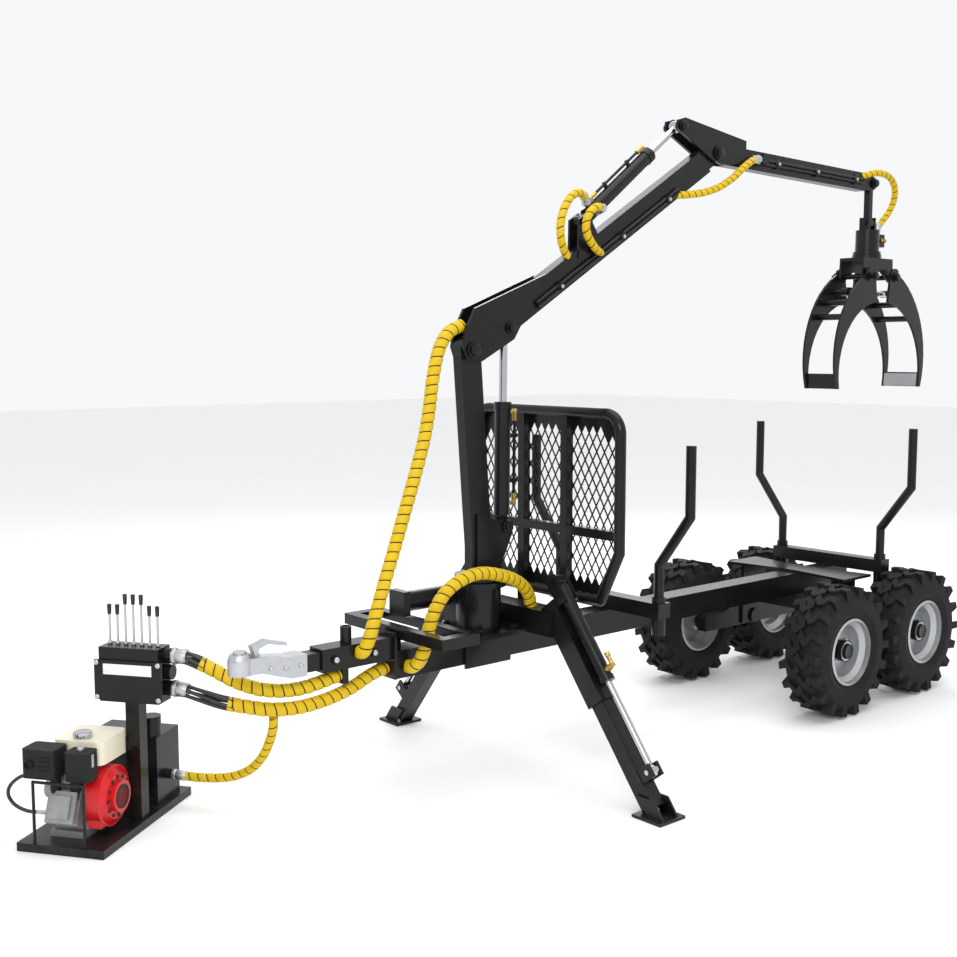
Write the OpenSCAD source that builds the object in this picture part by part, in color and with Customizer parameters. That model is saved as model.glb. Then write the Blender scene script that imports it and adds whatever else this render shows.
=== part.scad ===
// Tandem-axle log trailer with a grapple crane, side legs and a hydraulic power pack.
// Millimetres. X points forward along the drawbar, Y to the left, Z up.
// The origin is the centre of the ball socket in the coupler.

/* [Trailer] */
// Height of the ball socket's centre above the ground
coupler_height = 581; // [540:1:640]
// Distance from the ball socket back to the front axle
front_axle_back = 2725; // [2600:5:2900]
// Distance between the two axles of the bogies
wheelbase = 608; // [590:1:700]
// Distance between the middle planes of left and right tyres
track = 836; // [800:1:1000]
// Side of the square main beam
beam_w = 100; // [80:1:110]
// Wall of the main beam
beam_wall = 6; // [4:0.5:10]
// Height of the main beam's top relative to the ball socket
beam_top = -30; // [-40:1:-25]

/* [Wheels] */
// Outer diameter of a tyre at its lugs
tyre_d = 580; // [560:1:590]
// Width of a tyre
tyre_w = 195; // [170:1:210]
// Outer diameter of a rim's flange
rim_d = 296; // [270:1:310]
// Radius of a wheel spindle
spindle_r = 22; // [18:0.5:26]
// Running clearance round a spindle
spindle_gap = 0.5; // [0.3:0.1:1]
// Number of lugs in each of the two rows of a tyre
lug_count = 18; // [12:1:22]

/* [Drawbar] */
// Side of the outer drawbar sleeve
sleeve_w = 80; // [76:1:90]
// Side of the inner drawbar tube
drawbar_w = 60; // [50:1:66]
// Radius of the ball socket, for a 50 mm ball
ball_r = 25.3; // [25.1:0.1:26]
// Bore radius of the upright socket tube on the drawbar
post_bore_r = 15; // [12:0.5:17]

/* [Load space] */
// Diameter of a stake
stake_d = 40; // [30:1:46]
// Half distance between the feet of a pair of stakes
stake_foot_y = 278; // [260:1:300]
// Half distance between the tops of a pair of stakes
stake_top_y = 430; // [400:1:460]
// Height of the stake tops above the ball socket
stake_top_z = 660; // [560:1:690]
// Half width of the headboard
board_half_w = 398; // [360:1:420]
// Height of the headboard's top above the ball socket
board_top = 790; // [740:1:820]
// Tube diameter of the headboard's frame
board_tube_d = 42; // [34:1:48]
// Width of one diamond of the headboard's mesh
diamond_w = 40; // [36:1:60]
// Height of one diamond of the headboard's mesh
diamond_h = 68; // [60:1:90]

/* [Crane] */
// Distance from the ball socket back to the slewing axis
slew_back = 1010; // [980:1:1040]
// Fore and aft depth of the column tube
column_d = 96; // [80:1:100]
// Lateral width of the column tube
column_w = 45; // [44:0.5:48]
// Height of the boom tube
boom_h = 100; // [84:1:108]
// Lateral width of the boom and stick tubes
arm_w = 52; // [50:1:60]
// Height of the stick tube
stick_h = 84; // [70:1:90]
// Thickness of the hinge plates on boom and stick
plate_t = 12; // [8:1:14]
// Radius of the main hinge pins
pin_r = 17.5; // [14:0.5:20]
// Running clearance of a pin in its bore
pin_gap = 0.06; // [0.03:0.01:0.1]
// Outer diameter of the crane's cylinder barrels
barrel_d = 60; // [52:1:64]
// Diameter of the crane's piston rods
rod_d = 30; // [24:1:36]

/* [Grapple] */
// Distance between the two plates of a jaw
jaw_gap = 170; // [160:1:190]
// Thickness of a jaw plate
jaw_t = 12; // [8:1:14]
// Half width over the open jaws
jaw_reach = 385; // [378:1:386]
// Radius of a jaw's outer curve
jaw_out_r = 462; // [450:1:472]
// Radius of a jaw's inner curve
jaw_in_r = 350; // [335:1:354]
// Diameter of the rotator's body
rotator_d = 116; // [100:1:130]

/* [Side legs] */
// Half distance between the feet of the legs
leg_foot_y = 740; // [700:1:800]
// Side of a leg's outer sleeve
leg_sleeve_w = 80; // [74:1:90]
// Side of a leg's sliding tube
leg_w = 60; // [50:1:64]
// Diameter of a leg cylinder's barrel
leg_barrel_d = 50; // [44:1:56]
// Diameter of a leg cylinder's rod
leg_rod_d = 25; // [20:1:28]

/* [Power pack] */
// Length of the base tray
pack_l = 600; // [590:1:660]
// Width of the base tray
pack_w = 310; // [300:1:340]
// Height of the base tray
tray_h = 28; // [20:1:40]
// Number of valve levers
lever_count = 7; // [5:1:8]

/* [Hoses] */
// Diameter of a spiral wrapped hose bundle
bundle_d = 48; // [40:1:49]
// Diameter of a single wrapped hose
hose_d = 32; // [26:1:34]
// Diameter of a bare hose
line_d = 12; // [10:1:14]

/* [Hidden] */
$fn = 48;

black = [0.07, 0.07, 0.08];
steel = [0.72, 0.72, 0.74];
zinc = [0.80, 0.82, 0.85];
yellow = [0.90, 0.72, 0.08];
rubber = [0.05, 0.05, 0.05];
eps = 0.5;

ground = -coupler_height;
front_axle = -front_axle_back;
rear_axle = front_axle - wheelbase;
axle_z = ground + tyre_d / 2;
bogie_x = front_axle - wheelbase / 2;
bogie_w = 50;
bogie_gap = 10.5;
tyre_y = track / 2;
bogie_y = tyre_y - tyre_w / 2 - bogie_gap - bogie_w / 2;

beam_front = -590;
beam_rear = rear_axle - 40;
beam_mid = beam_top - beam_w / 2;
drawbar_z = -20;
sleeve_front = -290;
drawbar_front = -172;
post_x = -411;
front_bunk = -1709;
rear_bunk = rear_axle + 40;
bunk_h = 60;
board_x = -1350;

// Crane hinge points in the middle plane, as [x, z], with the boom as it is parked
slew_x = -slew_back;
boom_pin = [slew_x + 55, 1022];
stick_pin = [-2325, 1859];
tip_pin = [-3540, 1837];
lift_base = [slew_x - 115, 361];
lift_eye = [boom_pin[0] - 180, boom_pin[1] + 82];
stick_base = [-1535, 1519];
stick_eye = [stick_pin[0] + 234, stick_pin[1] + 86];
slew_top = 170;
eye_w = 40;
eye_pin_r = 12.5;
eye_r = 25;
plate_in = arm_w / 2;
plate_out = plate_in + plate_t;

// Grapple heights below the tip pin
link_l = 190;
rotator_top = 226;
rotator_bottom = 345;
head_top = 346;
head_bottom = 480;
jaw_pin = [95, 455];
jaw_tip = 1000;
jaw_out_mid = [jaw_reach - jaw_out_r, -857];
jaw_in_mid = [0, -927];
jaw_shift = jaw_t + 2;
grip_pin = [170, 530];
jaw_pin_r = 12.5;
head_plate_y = 61;

// Leg axis from the top of its sleeve down to its foot, in the plane of X = leg_x
leg_x = -1195;
leg_top_y = 255;
leg_top_z = 40;
leg_drop = leg_top_z - ground;
leg_angle = atan2(leg_foot_y - leg_top_y, leg_drop);
leg_len = leg_drop / cos(leg_angle);
leg_cyl_off = leg_sleeve_w / 2 + leg_barrel_d / 2 + 6;

// Power pack: corner of its tray on the ground and its turn
pack_corner = [409, -157];
pack_turn = 216;

function dir2(a, b) = (b - a) / norm(b - a);
function ang2(a, b) = atan2(b[1] - a[1], b[0] - a[0]);

// A cylinder between two points
module rod(a, b, d) {
    v = b - a;
    translate(a)
        rotate([0, acos(v[2] / norm(v)), atan2(v[1], v[0])])
            cylinder(d = d, h = norm(v));
}

// A pin across the middle plane at [x, z]
module cross_pin(p, r, half) {
    translate([p[0], half, p[1]]) rotate([90, 0, 0]) cylinder(r = r, h = 2 * half);
}

// A plate in the X-Z plane from an outline, between two Y values
module side_plate(outline, y0, y1) {
    translate([0, y1, 0]) rotate([90, 0, 0]) linear_extrude(y1 - y0) polygon(outline);
}

// A box along a line of the X-Z plane, from s0 to s1 after its start
module bar(a, b, s0, s1, h, w) {
    translate([a[0], 0, a[1]]) rotate([0, -ang2(a, b), 0])
        translate([s0, -w / 2, -h / 2]) cube([s1 - s0, w, h]);
}

// Places children at a point of the X-Z plane with local X along a line
module along(a, b) {
    translate([a[0], 0, a[1]]) rotate([0, -ang2(a, b), 0]) children();
}

// A square tube along X
module square_tube(x0, x1, z, w, wall) {
    difference() {
        translate([x0, -w / 2, z - w / 2]) cube([x1 - x0, w, w]);
        translate([x0 - 1, -w / 2 + wall, z - w / 2 + wall])
            cube([x1 - x0 + 2, w - 2 * wall, w - 2 * wall]);
    }
}

// A box with rounded upright edges
module round_box(size, r) {
    linear_extrude(size[2])
        hull()
            for (x = [r, size[0] - r], y = [r, size[1] - r]) translate([x, y]) circle(r, $fn = 24);
}

// A hose swept along a route by rings of equal sides
function hose_dir(p, i) =
    let (a = p[max(i - 1, 0)], b = p[min(i + 1, len(p) - 1)]) (b - a) / norm(b - a);
function hose_side(t) =
    let (k = abs(t[1]) < 0.9 ? [0, 1, 0] : [1, 0, 0], c = cross(t, k)) c / norm(c);
function hose_ring(p, i, d, n) =
    let (t = hose_dir(p, i), u = hose_side(t), v = cross(t, u))
    [for (j = [0 : n - 1]) p[i] + d / 2 * (cos(360 * j / n) * u + sin(360 * j / n) * v)];
module hose(p, d) {
    n = 8;
    last = len(p) - 1;
    points = [for (i = [0 : last]) each hose_ring(p, i, d, n)];
    sides = [for (i = [0 : last - 1], j = [0 : n - 1])
        [i * n + j, (i + 1) * n + j, (i + 1) * n + (j + 1) % n, i * n + (j + 1) % n]];
    caps = [[for (j = [0 : n - 1]) j], [for (j = [n - 1 : -1 : 0]) last * n + j]];
    polyhedron(points, concat(sides, caps));
}

// Routes of the hoses, chosen by hand
boom_feed_route = [
    [-440, 40, -10], [-442, 62, -4], [-454, 74, 32], [-478, 74, 95], [-517, 66, 190], [-582, 55, 340],
    [-648, 44, 494], [-700, 36, 620], [-738, 28, 720], [-765, 20, 820], [-787, 14, 925],
    [-820, 8, 1025], [-870, 2, 1085], [-930, 0, 1110]
];
base_route = [
    [-640, 50, -90], [-642, 76, -88], [-654, 100, -65], [-668, 112, -20], [-680, 118, 40],
    [-703, 124, 110], [-750, 130, 172], [-822, 134, 210], [-907, 136, 222], [-1000, 132, 204],
    [-1080, 122, 176], [-1138, 112, 140], [-1174, 104, 98], [-1182, 102, 60]
];
valve_upper_route = [
    [107, -257, 9], [88, -232, 8], [55, -192, -6], [10, -150, -36], [-40, -105, -72],
    [-100, -60, -99], [-170, -30, -112], [-240, -10, -111], [-310, 0, -100], [-350, 0, -92], [-380, 0, -90]
];
valve_lower_route = [
    [107, -257, -101], [88, -232, -104], [50, -185, -120], [0, -125, -140], [-60, -70, -155],
    [-130, -30, -169], [-220, -8, -174], [-320, 0, -166], [-420, 0, -146], [-500, 0, -116],
    [-550, 0, -101], [-580, 0, -98]
];
tank_route = [
    [31, -435, -461], [10, -406, -463], [-30, -355, -466], [-75, -295, -462], [-110, -235, -445],
    [-135, -175, -410], [-148, -120, -355], [-150, -75, -290], [-145, -45, -240], [-140, -32, -198]
];
boom_hose_route = [
    [-1570, 0, 1588], [-1552, 4, 1612], [-1515, 14, 1628], [-1462, 26, 1612], [-1415, 34, 1565],
    [-1392, 36, 1505], [-1398, 32, 1445], [-1425, 22, 1402], [-1448, 16, 1378]
];
ram_hose_route = [
    [-1591, 33, 1562], [-1584, 58, 1566], [-1560, 76, 1572], [-1520, 80, 1560], [-1492, 76, 1520],
    [-1500, 70, 1470], [-1545, 58, 1428], [-1590, 42, 1408], [-1625, 25, 1400]
];
stick_hose_route = [
    [-2070, 26, 1662], [-2130, 44, 1668], [-2210, 56, 1682], [-2300, 62, 1710], [-2390, 62, 1755],
    [-2450, 60, 1795], [-2510, 56, 1832], [-2558, 50, 1852], [-2596, 48, 1857]
];
tip_hose_route = [
    [-3440, 22, 1862], [-3500, 40, 1880], [-3570, 52, 1885], [-3640, 56, 1868], [-3695, 48, 1825],
    [-3712, 34, 1765], [-3692, 18, 1705], [-3648, 6, 1655], [-3622, 2, 1622], [-3618, 0, 1598]
];
// On the power pack, in its own frame
engine_hose_route = [
    [118, 262, 212], [112, 300, 216], [104, 350, 210], [98, 390, 180], [98, 402, 145], [104, 384, 110],
    [114, 345, 88], [122, 296, 84], [126, 262, 86]
];

module main_beam() {
    color(black) {
        square_tube(beam_rear, beam_front, beam_mid, beam_w, beam_wall);
        for (x = [beam_rear, beam_front - beam_wall])
            translate([x, -beam_w / 2, beam_mid - beam_w / 2]) cube([beam_wall, beam_w, beam_w]);
    }
}

module drawbar_sleeve() {
    collar_t = 10;
    collar_w = sleeve_w + 30;
    post_r = post_bore_r + 5;
    post_top = 79;
    clip_x = -380;
    clip_z = -90;
    clip_half = bundle_d / 2 + 2;
    color(black)
        difference() {
            union() {
                square_tube(beam_front + collar_t, sleeve_front, drawbar_z, sleeve_w, 8);
                translate([beam_front, -collar_w / 2, beam_mid - beam_w / 2])
                    cube([collar_t, collar_w, drawbar_z + collar_w / 2 - beam_mid + beam_w / 2]);
                translate([post_x, 0, drawbar_z + sleeve_w / 2 - eps])
                    cylinder(r = post_r, h = post_top - drawbar_z - sleeve_w / 2);
                translate([clip_x - 24, -clip_half, clip_z - clip_half])
                    cube([24, 2 * clip_half, drawbar_z - sleeve_w / 2 + eps - clip_z + clip_half]);
                for (x = [-340, -500])
                    translate([x, 0, drawbar_z]) rotate([90, 0, 0])
                        cylinder(d = 30, h = sleeve_w + 16, center = true, $fn = 6);
            }
            translate([beam_front + collar_t + 1, -drawbar_w / 2, drawbar_z - drawbar_w / 2])
                cube([sleeve_front - beam_front, drawbar_w, drawbar_w]);
            translate([post_x, 0, drawbar_z + sleeve_w / 2])
                cylinder(r = post_bore_r, h = post_top);
        }
}

module drawbar_tube() {
    color(black)
        square_tube(beam_front + 60, drawbar_front, drawbar_z, drawbar_w, 5);
}

module ball_coupler() {
    shell_r = 40;
    top = 44;
    tail = drawbar_front - 60;
    tail_w = drawbar_w + 12;
    color(zinc)
        difference() {
            union() {
                cylinder(r = shell_r, h = top, center = true);
                translate([0, 0, top / 2]) intersection() {
                    sphere(r = shell_r);
                    translate([0, 0, -1]) cylinder(r = shell_r, h = 26);
                }
                side_plate([[0, -22], [0, 34], [-70, 30], [drawbar_front, 16], [tail, 16],
                    [tail, -58], [drawbar_front, -58], [-60, -22]], -tail_w / 2, tail_w / 2);
            }
            cylinder(r = ball_r, h = 2 * top, center = true);
            translate([tail - 1, -drawbar_w / 2, drawbar_z - drawbar_w / 2])
                cube([drawbar_front - tail + 1, drawbar_w, drawbar_w]);
            translate([drawbar_front - eps, -18, -70]) cube([-70 - drawbar_front, 36, 80]);
        }
    color(zinc) translate([0, 0, top + 2]) cylinder(r = 22, h = 10);
}

module coupler_lever() {
    color(zinc)
        side_plate([[-66, 28], [-50, 28], [-38, 66], [-92, 82], [-168, 62], [-170, 50], [-96, 66],
            [-62, 54]], -14, 14);
}

module platform_frame() {
    x0 = -770;
    x1 = -604;
    half = 290;
    leg = 40;
    t = 5;
    z = 10;
    color(black) {
        difference() {
            translate([x0, -half, z]) cube([x1 - x0, 2 * half, leg]);
            translate([x0 + t, -half + t, z - 1]) cube([x1 - x0 - 2 * t, 2 * half - 2 * t, leg - t + 1]);
            translate([x0 + leg, -half + leg, z]) cube([x1 - x0 - 2 * leg, 2 * half - 2 * leg, leg + 1]);
        }
        for (x = [x0 + t, x1 - 2 * t])
            translate([x, -beam_w / 2 + 5, beam_top])
                cube([t, beam_w - 10, z + leg - t - beam_top + eps]);
    }
}

board_bottom = 90;
board_bend_z = 278;
board_foot_y = board_half_w - 92;
board_corner_r = 75;
board_post_y = 120;
board_rail_z = 341;
board_bar = 34;

// Half outline of the headboard's tube centre line, from the foot up
module board_loop(y_sign) {
    c = board_corner_r;
    color(black) {
        rod([board_x, y_sign * board_foot_y, board_bottom],
            [board_x, y_sign * board_half_w, board_bend_z], board_tube_d);
        translate([board_x, y_sign * board_half_w, board_bend_z]) sphere(d = board_tube_d + eps);
        rod([board_x, y_sign * board_half_w, board_bend_z],
            [board_x, y_sign * board_half_w, board_top - c], board_tube_d);
        translate([board_x, y_sign * (board_half_w - c), board_top - c])
            rotate([90, 0, 90]) mirror([y_sign < 0 ? 1 : 0, 0, 0])
                rotate_extrude(angle = 90) translate([c, 0]) circle(d = board_tube_d);
        translate([board_x, y_sign * board_foot_y, board_bottom]) sphere(d = board_tube_d + eps);
    }
}

module headboard_frame() {
    c = board_corner_r;
    bar_t = board_bar;
    foot_z = beam_top + 50;
    color(black) {
        for (s = [-1, 1]) board_loop(s);
        rod([board_x, c - board_half_w, board_top], [board_x, board_half_w - c, board_top], board_tube_d);
        rod([board_x, -board_foot_y, board_bottom], [board_x, board_foot_y, board_bottom], board_tube_d);
        for (s = [-1, 1])
            translate([board_x - bar_t / 2, s * board_post_y - bar_t / 2, foot_z - eps])
                cube([bar_t, bar_t, board_top - foot_z]);
        translate([board_x - bar_t / 2, -board_half_w, board_rail_z - bar_t / 2])
            cube([bar_t, 2 * board_half_w, bar_t]);
        translate([board_x - 30, -board_post_y - 30, beam_top]) cube([60, 2 * board_post_y + 60, 50]);
    }
}

// Diamonds that fit inside the tube loop, as [y, z] centres
function board_inside(y, z) =
    let (m = 14, a = abs(y) + diamond_w / 2, top = z + diamond_h / 2, low = z - diamond_h / 2,
        slope = (board_half_w - board_foot_y) / (board_bend_z - board_bottom),
        edge = low < board_bend_z ? board_foot_y + (low - board_bottom) * slope : board_half_w)
    a < edge - m && top < board_top - m && low > board_bottom + m
    && (a < board_half_w - 60 || top < board_top - 60);
function diamond(y, z) =
    [[y, z - diamond_h / 2 + 4], [y + diamond_w / 2 - 2.5, z], [y, z + diamond_h / 2 - 4],
        [y - diamond_w / 2 + 2.5, z]];

module headboard_mesh() {
    sheet_t = 4;
    holes = [for (j = [-14 : 14], i = [-12 : 12])
        let (y = diamond_w * (i + (j % 2 == 0 ? 0 : 0.5)), z = 440 + j * diamond_h / 2)
        if (board_inside(y, z)) diamond(y, z)];
    c = board_corner_r;
    rim = [
        [board_foot_y, board_bottom], [board_half_w, board_bend_z], [board_half_w, board_top - c],
        for (a = [15 : 15 : 90]) [board_half_w - c + c * cos(a), board_top - c + c * sin(a)],
        for (a = [90 : 15 : 180]) [c - board_half_w + c * cos(a), board_top - c + c * sin(a)],
        [-board_half_w, board_bend_z], [-board_foot_y, board_bottom]
    ];
    points = concat(rim, [for (h = holes) each h]);
    paths = concat([[for (i = [0 : len(rim) - 1]) i]],
        [for (k = [0 : len(holes) - 1]) [for (i = [0 : 3]) len(rim) + 4 * k + i]]);
    color(black)
        translate([board_x - board_bar / 2 - sheet_t, 0, 0]) rotate([90, 0, 90])
            linear_extrude(sheet_t) polygon(points, paths);
}

module bunks() {
    w = 70;
    socket_d = stake_d + 14;
    color(black)
        for (x = [front_bunk, rear_bunk])
            difference() {
                union() {
                    translate([x - w / 2, -stake_foot_y - 30, beam_top]) cube([w, 2 * stake_foot_y + 60, bunk_h]);
                    for (s = [-1, 1])
                        translate([x, s * stake_foot_y, beam_top - 70]) cylinder(d = socket_d, h = 70 + bunk_h + 25);
                }
                for (s = [-1, 1])
                    translate([x, s * stake_foot_y, beam_top - 60]) cylinder(d = stake_d, h = 250);
            }
}

module stakes() {
    low = beam_top - 60;
    bend_low = 179;
    bend_high = 384;
    color(black)
        for (x = [front_bunk, rear_bunk], s = [-1, 1]) {
            foot = [x, s * stake_foot_y, low];
            a = [x, s * stake_foot_y, bend_low];
            b = [x, s * stake_top_y, bend_high];
            rod(foot, a, stake_d);
            translate(a) sphere(d = stake_d + eps);
            rod(a, b, stake_d);
            translate(b) sphere(d = stake_d + eps);
            rod(b, [x, s * stake_top_y, stake_top_z], stake_d);
        }
}

module axle_beam() {
    wing = bogie_y + 45;
    plate = 12;
    under = beam_mid - beam_w / 2;
    box = 80;
    cheek_l = 180;
    cheek_y = bogie_y - bogie_w / 2;
    color(black) {
        translate([bogie_x - box / 2, -bogie_y, under - box]) cube([box, 2 * bogie_y, box]);
        translate([0, 0, beam_top]) linear_extrude(plate)
            polygon([[bogie_x - 110, -wing], [bogie_x + 110, -wing], [bogie_x + 70, -beam_w / 2],
                [bogie_x + 70, beam_w / 2], [bogie_x + 110, wing], [bogie_x - 110, wing],
                [bogie_x - 70, beam_w / 2], [bogie_x - 70, -beam_w / 2]]);
        for (s = [-1, 1]) {
            translate([bogie_x - cheek_l / 2, s > 0 ? cheek_y - plate : -cheek_y, axle_z - 30])
                cube([cheek_l, plate, beam_top + eps - axle_z + 30]);
            rod([bogie_x, s * (cheek_y - 24), axle_z], [bogie_x, s * (cheek_y - 1), axle_z], 70);
        }
    }
}

module bogie_beams() {
    w = bogie_w;
    h = 90;
    hub_in = tyre_y - 70;
    color(black)
        for (s = [-1, 1]) {
            y = s * bogie_y;
            translate([0, y + w / 2, 0]) rotate([90, 0, 0]) linear_extrude(w)
                polygon([[front_axle + 55, axle_z - 34], [front_axle + 55, axle_z + 34],
                    [bogie_x + 80, axle_z + h / 2 + 18], [bogie_x - 80, axle_z + h / 2 + 18],
                    [rear_axle - 55, axle_z + 34], [rear_axle - 55, axle_z - 34],
                    [bogie_x - 80, axle_z - h / 2 + 8], [bogie_x + 80, axle_z - h / 2 + 8]]);
            rod([bogie_x, y, axle_z], [bogie_x, y + s * (w / 2 + 8), axle_z], 70);
            for (x = [front_axle, rear_axle]) {
                rod([x, y, axle_z], [x, s * (tyre_y + 20), axle_z], 2 * spindle_r);
                rod([x, y, axle_z], [x, s * (hub_in - 8), axle_z], 80);
            }
        }
}

module crane_base() {
    r = 85;
    rack_y = -115;
    rack_z = 100;
    rack_rear = slew_x - 120;
    rack_l = 400;
    color(black) {
        translate([slew_x - 135, -130, beam_top]) cube([270, 260, 18]);
        translate([slew_x, 0, beam_top]) cylinder(r = r, h = slew_top - 20 - beam_top);
        translate([slew_x, 0, slew_top - 22]) cylinder(r = r + 20, h = 20);
        translate([rack_rear, rack_y, rack_z]) rotate([0, 90, 0]) cylinder(d = 76, h = rack_l);
        for (x = [rack_rear - 15, rack_rear + rack_l - 15])
            translate([x, rack_y - 45, rack_z - 45]) cube([30, 90, 90]);
        translate([slew_x - 70, rack_y, beam_top]) cube([140, 120, rack_z - beam_top]);
        for (s = [-1, 1])
            translate([slew_x - 110, s * (beam_w / 2 + 5) - 5, beam_top - beam_w - 15])
                cube([220, 10, beam_w + 20]);
        for (x = [-100, 60], s = [-1, 1])
            translate([slew_x + x + 10, s * 105, beam_top + 17]) cylinder(d = 30, h = 16, $fn = 6);
    }
}

// Places children in a leg's own frame: local Z runs down the leg, local Y faces up and out
module leg_place(s) {
    translate([leg_x, s * leg_top_y, leg_top_z]) rotate([s > 0 ? 180 + leg_angle : 180 - leg_angle, 0, 0])
        mirror([0, s > 0 ? 1 : 0, 0]) children();
}

sleeve_end = 350;
sleeve_start = -60;
barrel_start = -115;
barrel_end = 300;
leg_clevis = 645;
leg_travel = 250;

module leg_frame() {
    inner = leg_w + 4;
    cross = 90;
    color(black)
        difference() {
            union() {
                translate([leg_x - 50, -leg_top_y, beam_top]) cube([100, 2 * leg_top_y, cross]);
                for (s = [-1, 1]) leg_place(s) {
                    translate([-leg_sleeve_w / 2, -leg_sleeve_w / 2, sleeve_start])
                        cube([leg_sleeve_w, leg_sleeve_w, sleeve_end - sleeve_start]);
                    for (x = [-34, 22])
                        translate([x, leg_sleeve_w / 2 - eps, barrel_start - 20])
                            cube([12, leg_cyl_off + 20 - leg_sleeve_w / 2, 110]);
                }
            }
            for (s = [-1, 1]) leg_place(s)
                translate([-inner / 2, -inner / 2, -leg_travel - 50])
                    cube([inner, inner, leg_travel + sleeve_end + 100]);
        }
}

module leg_barrels() {
    color(black)
        for (s = [-1, 1]) leg_place(s) translate([0, leg_cyl_off, 0])
            difference() {
                union() {
                    translate([0, 0, barrel_start + 25]) cylinder(d = leg_barrel_d, h = barrel_end - barrel_start - 25);
                    translate([0, 0, barrel_end - 20]) cylinder(d = leg_barrel_d + 6, h = 20);
                    translate([-21.5, 0, barrel_start]) rotate([0, 90, 0]) cylinder(d = 44, h = 43);
                    translate([-15, -15, barrel_start]) cube([30, 30, 40]);
                    translate([-44, 0, barrel_start]) rotate([0, 90, 0]) cylinder(d = 20, h = 88);
                }
                translate([0, 0, barrel_start + 45]) cylinder(d = leg_rod_d + 1, h = 600);
            }
}

module leg_tube(s) {
    ear_t = 10;
    foot_w = 130;
    foot_t = 10;
    color(black) {
        leg_place(s) {
            translate([-leg_w / 2, -leg_w / 2, 60]) cube([leg_w, leg_w, leg_len - 34 - 60]);
            for (x = [-26, 16])
                translate([x, leg_w / 2 - eps, leg_clevis - 25])
                    cube([ear_t, leg_cyl_off + 22 - leg_w / 2, 50]);
        }
        translate([leg_x - foot_w / 2, s * leg_foot_y - foot_w / 2, ground]) cube([foot_w, foot_w, foot_t]);
        translate([0, s * leg_foot_y, ground + foot_t - eps])
            for (x = [-40, 32]) translate([leg_x + x, 0, 0]) rotate([90, 0, 90]) linear_extrude(8)
                polygon([[-s * 70, 60], [-s * 20, 0], [s * 55, 0], [s * 10, 60]]);
    }
}

module leg_rod(s) {
    color(steel) leg_place(s) translate([0, leg_cyl_off, 0]) {
        translate([0, 0, 190]) cylinder(d = leg_rod_d, h = leg_clevis - 190);
        translate([-15, 0, leg_clevis]) rotate([0, 90, 0]) cylinder(d = 40, h = 30);
        translate([-30, 0, leg_clevis]) rotate([0, 90, 0]) cylinder(d = 18, h = 60);
    }
}

// Outline of one lug on the left half of the tread, as [across, round]
lug_h = 20;
lug_chord = 0.55;
function lug_outline(half, pitch) = [
    [-10, -0.04 * pitch], [24, -0.42 * pitch], [46, -0.30 * pitch], [half - 40, -0.02 * pitch],
    [half - 5, -0.14 * pitch], [half - 5, 0.20 * pitch], [half - 46, 0.32 * pitch],
    [28, -0.06 * pitch], [-2, 0.30 * pitch]
];

// Half section of a tyre, as [radius, y], with two rows of lugs that meet in a zigzag
module tyre(x, s) {
    half = tyre_w / 2;
    r_bead = rim_d / 2 - 8;
    r_out = tyre_d / 2;
    r_floor = r_out - lug_h;
    pitch = 2 * PI * r_out / lug_count;
    lug_top = sqrt(r_out ^ 2 - (lug_chord * pitch) ^ 2);
    color(rubber) translate([x, s * tyre_y, axle_z]) rotate([90, 0, 0]) {
        rotate_extrude($fn = 64)
            polygon([[r_bead, -half + 26], [r_bead + 14, -half + 14], [r_bead + 45, -half],
                [r_out - 58, -half + 3], [r_floor - 12, -half + 20], [r_floor, -half + 44],
                [r_floor, half - 44], [r_floor - 12, half - 20], [r_out - 58, half - 3], [r_bead + 45, half],
                [r_bead + 14, half - 14], [r_bead, half - 26]]);
        for (side = [-1, 1], i = [0 : lug_count - 1])
            rotate([0, 0, (i + (side > 0 ? 0.5 : 0)) * 360 / lug_count])
                translate([r_out - 62, 0, 0]) rotate([0, 90, 0]) mirror([side > 0 ? 1 : 0, 0, 0])
                    linear_extrude(lug_top - r_out + 62) polygon(lug_outline(half, pitch));
    }
}

module rim(x, s) {
    half = tyre_w / 2;
    r_seat = rim_d / 2 - 8.3;
    r_flange = rim_d / 2;
    hub_r = 46;
    wall = 5;
    disc_y = -8;
    color(steel) translate([x, s * tyre_y, axle_z]) rotate([s > 0 ? -90 : 90, 0, 0]) {
        rotate_extrude($fn = 64)
            polygon([[r_flange - 10, -half + 8], [r_flange, -half + 12], [r_seat, -half + 26], [r_seat, half - 26],
                [r_flange, half - 12], [r_flange - 10, half - 8], [r_seat - wall, half - 30],
                [r_seat - 24, half - 50], [r_seat - 24, disc_y + 12], [hub_r + 12, disc_y + 26],
                [hub_r, disc_y + 26], [hub_r, disc_y + 14], [r_seat - 30, disc_y],
                [r_seat - 30, -half + 50], [r_seat - wall, -half + 30]]);
        difference() {
            translate([0, 0, -60]) cylinder(r = hub_r + eps, h = 120);
            translate([0, 0, -61]) cylinder(r = spindle_r + spindle_gap, h = 61 + 21);
        }
        for (a = [0 : 90 : 270]) rotate([0, 0, a + 45])
            translate([hub_r + 9, 0, disc_y + 20]) cylinder(d = 16, h = 22, $fn = 6);
    }
}

column_bend = [slew_x, 300];

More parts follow.
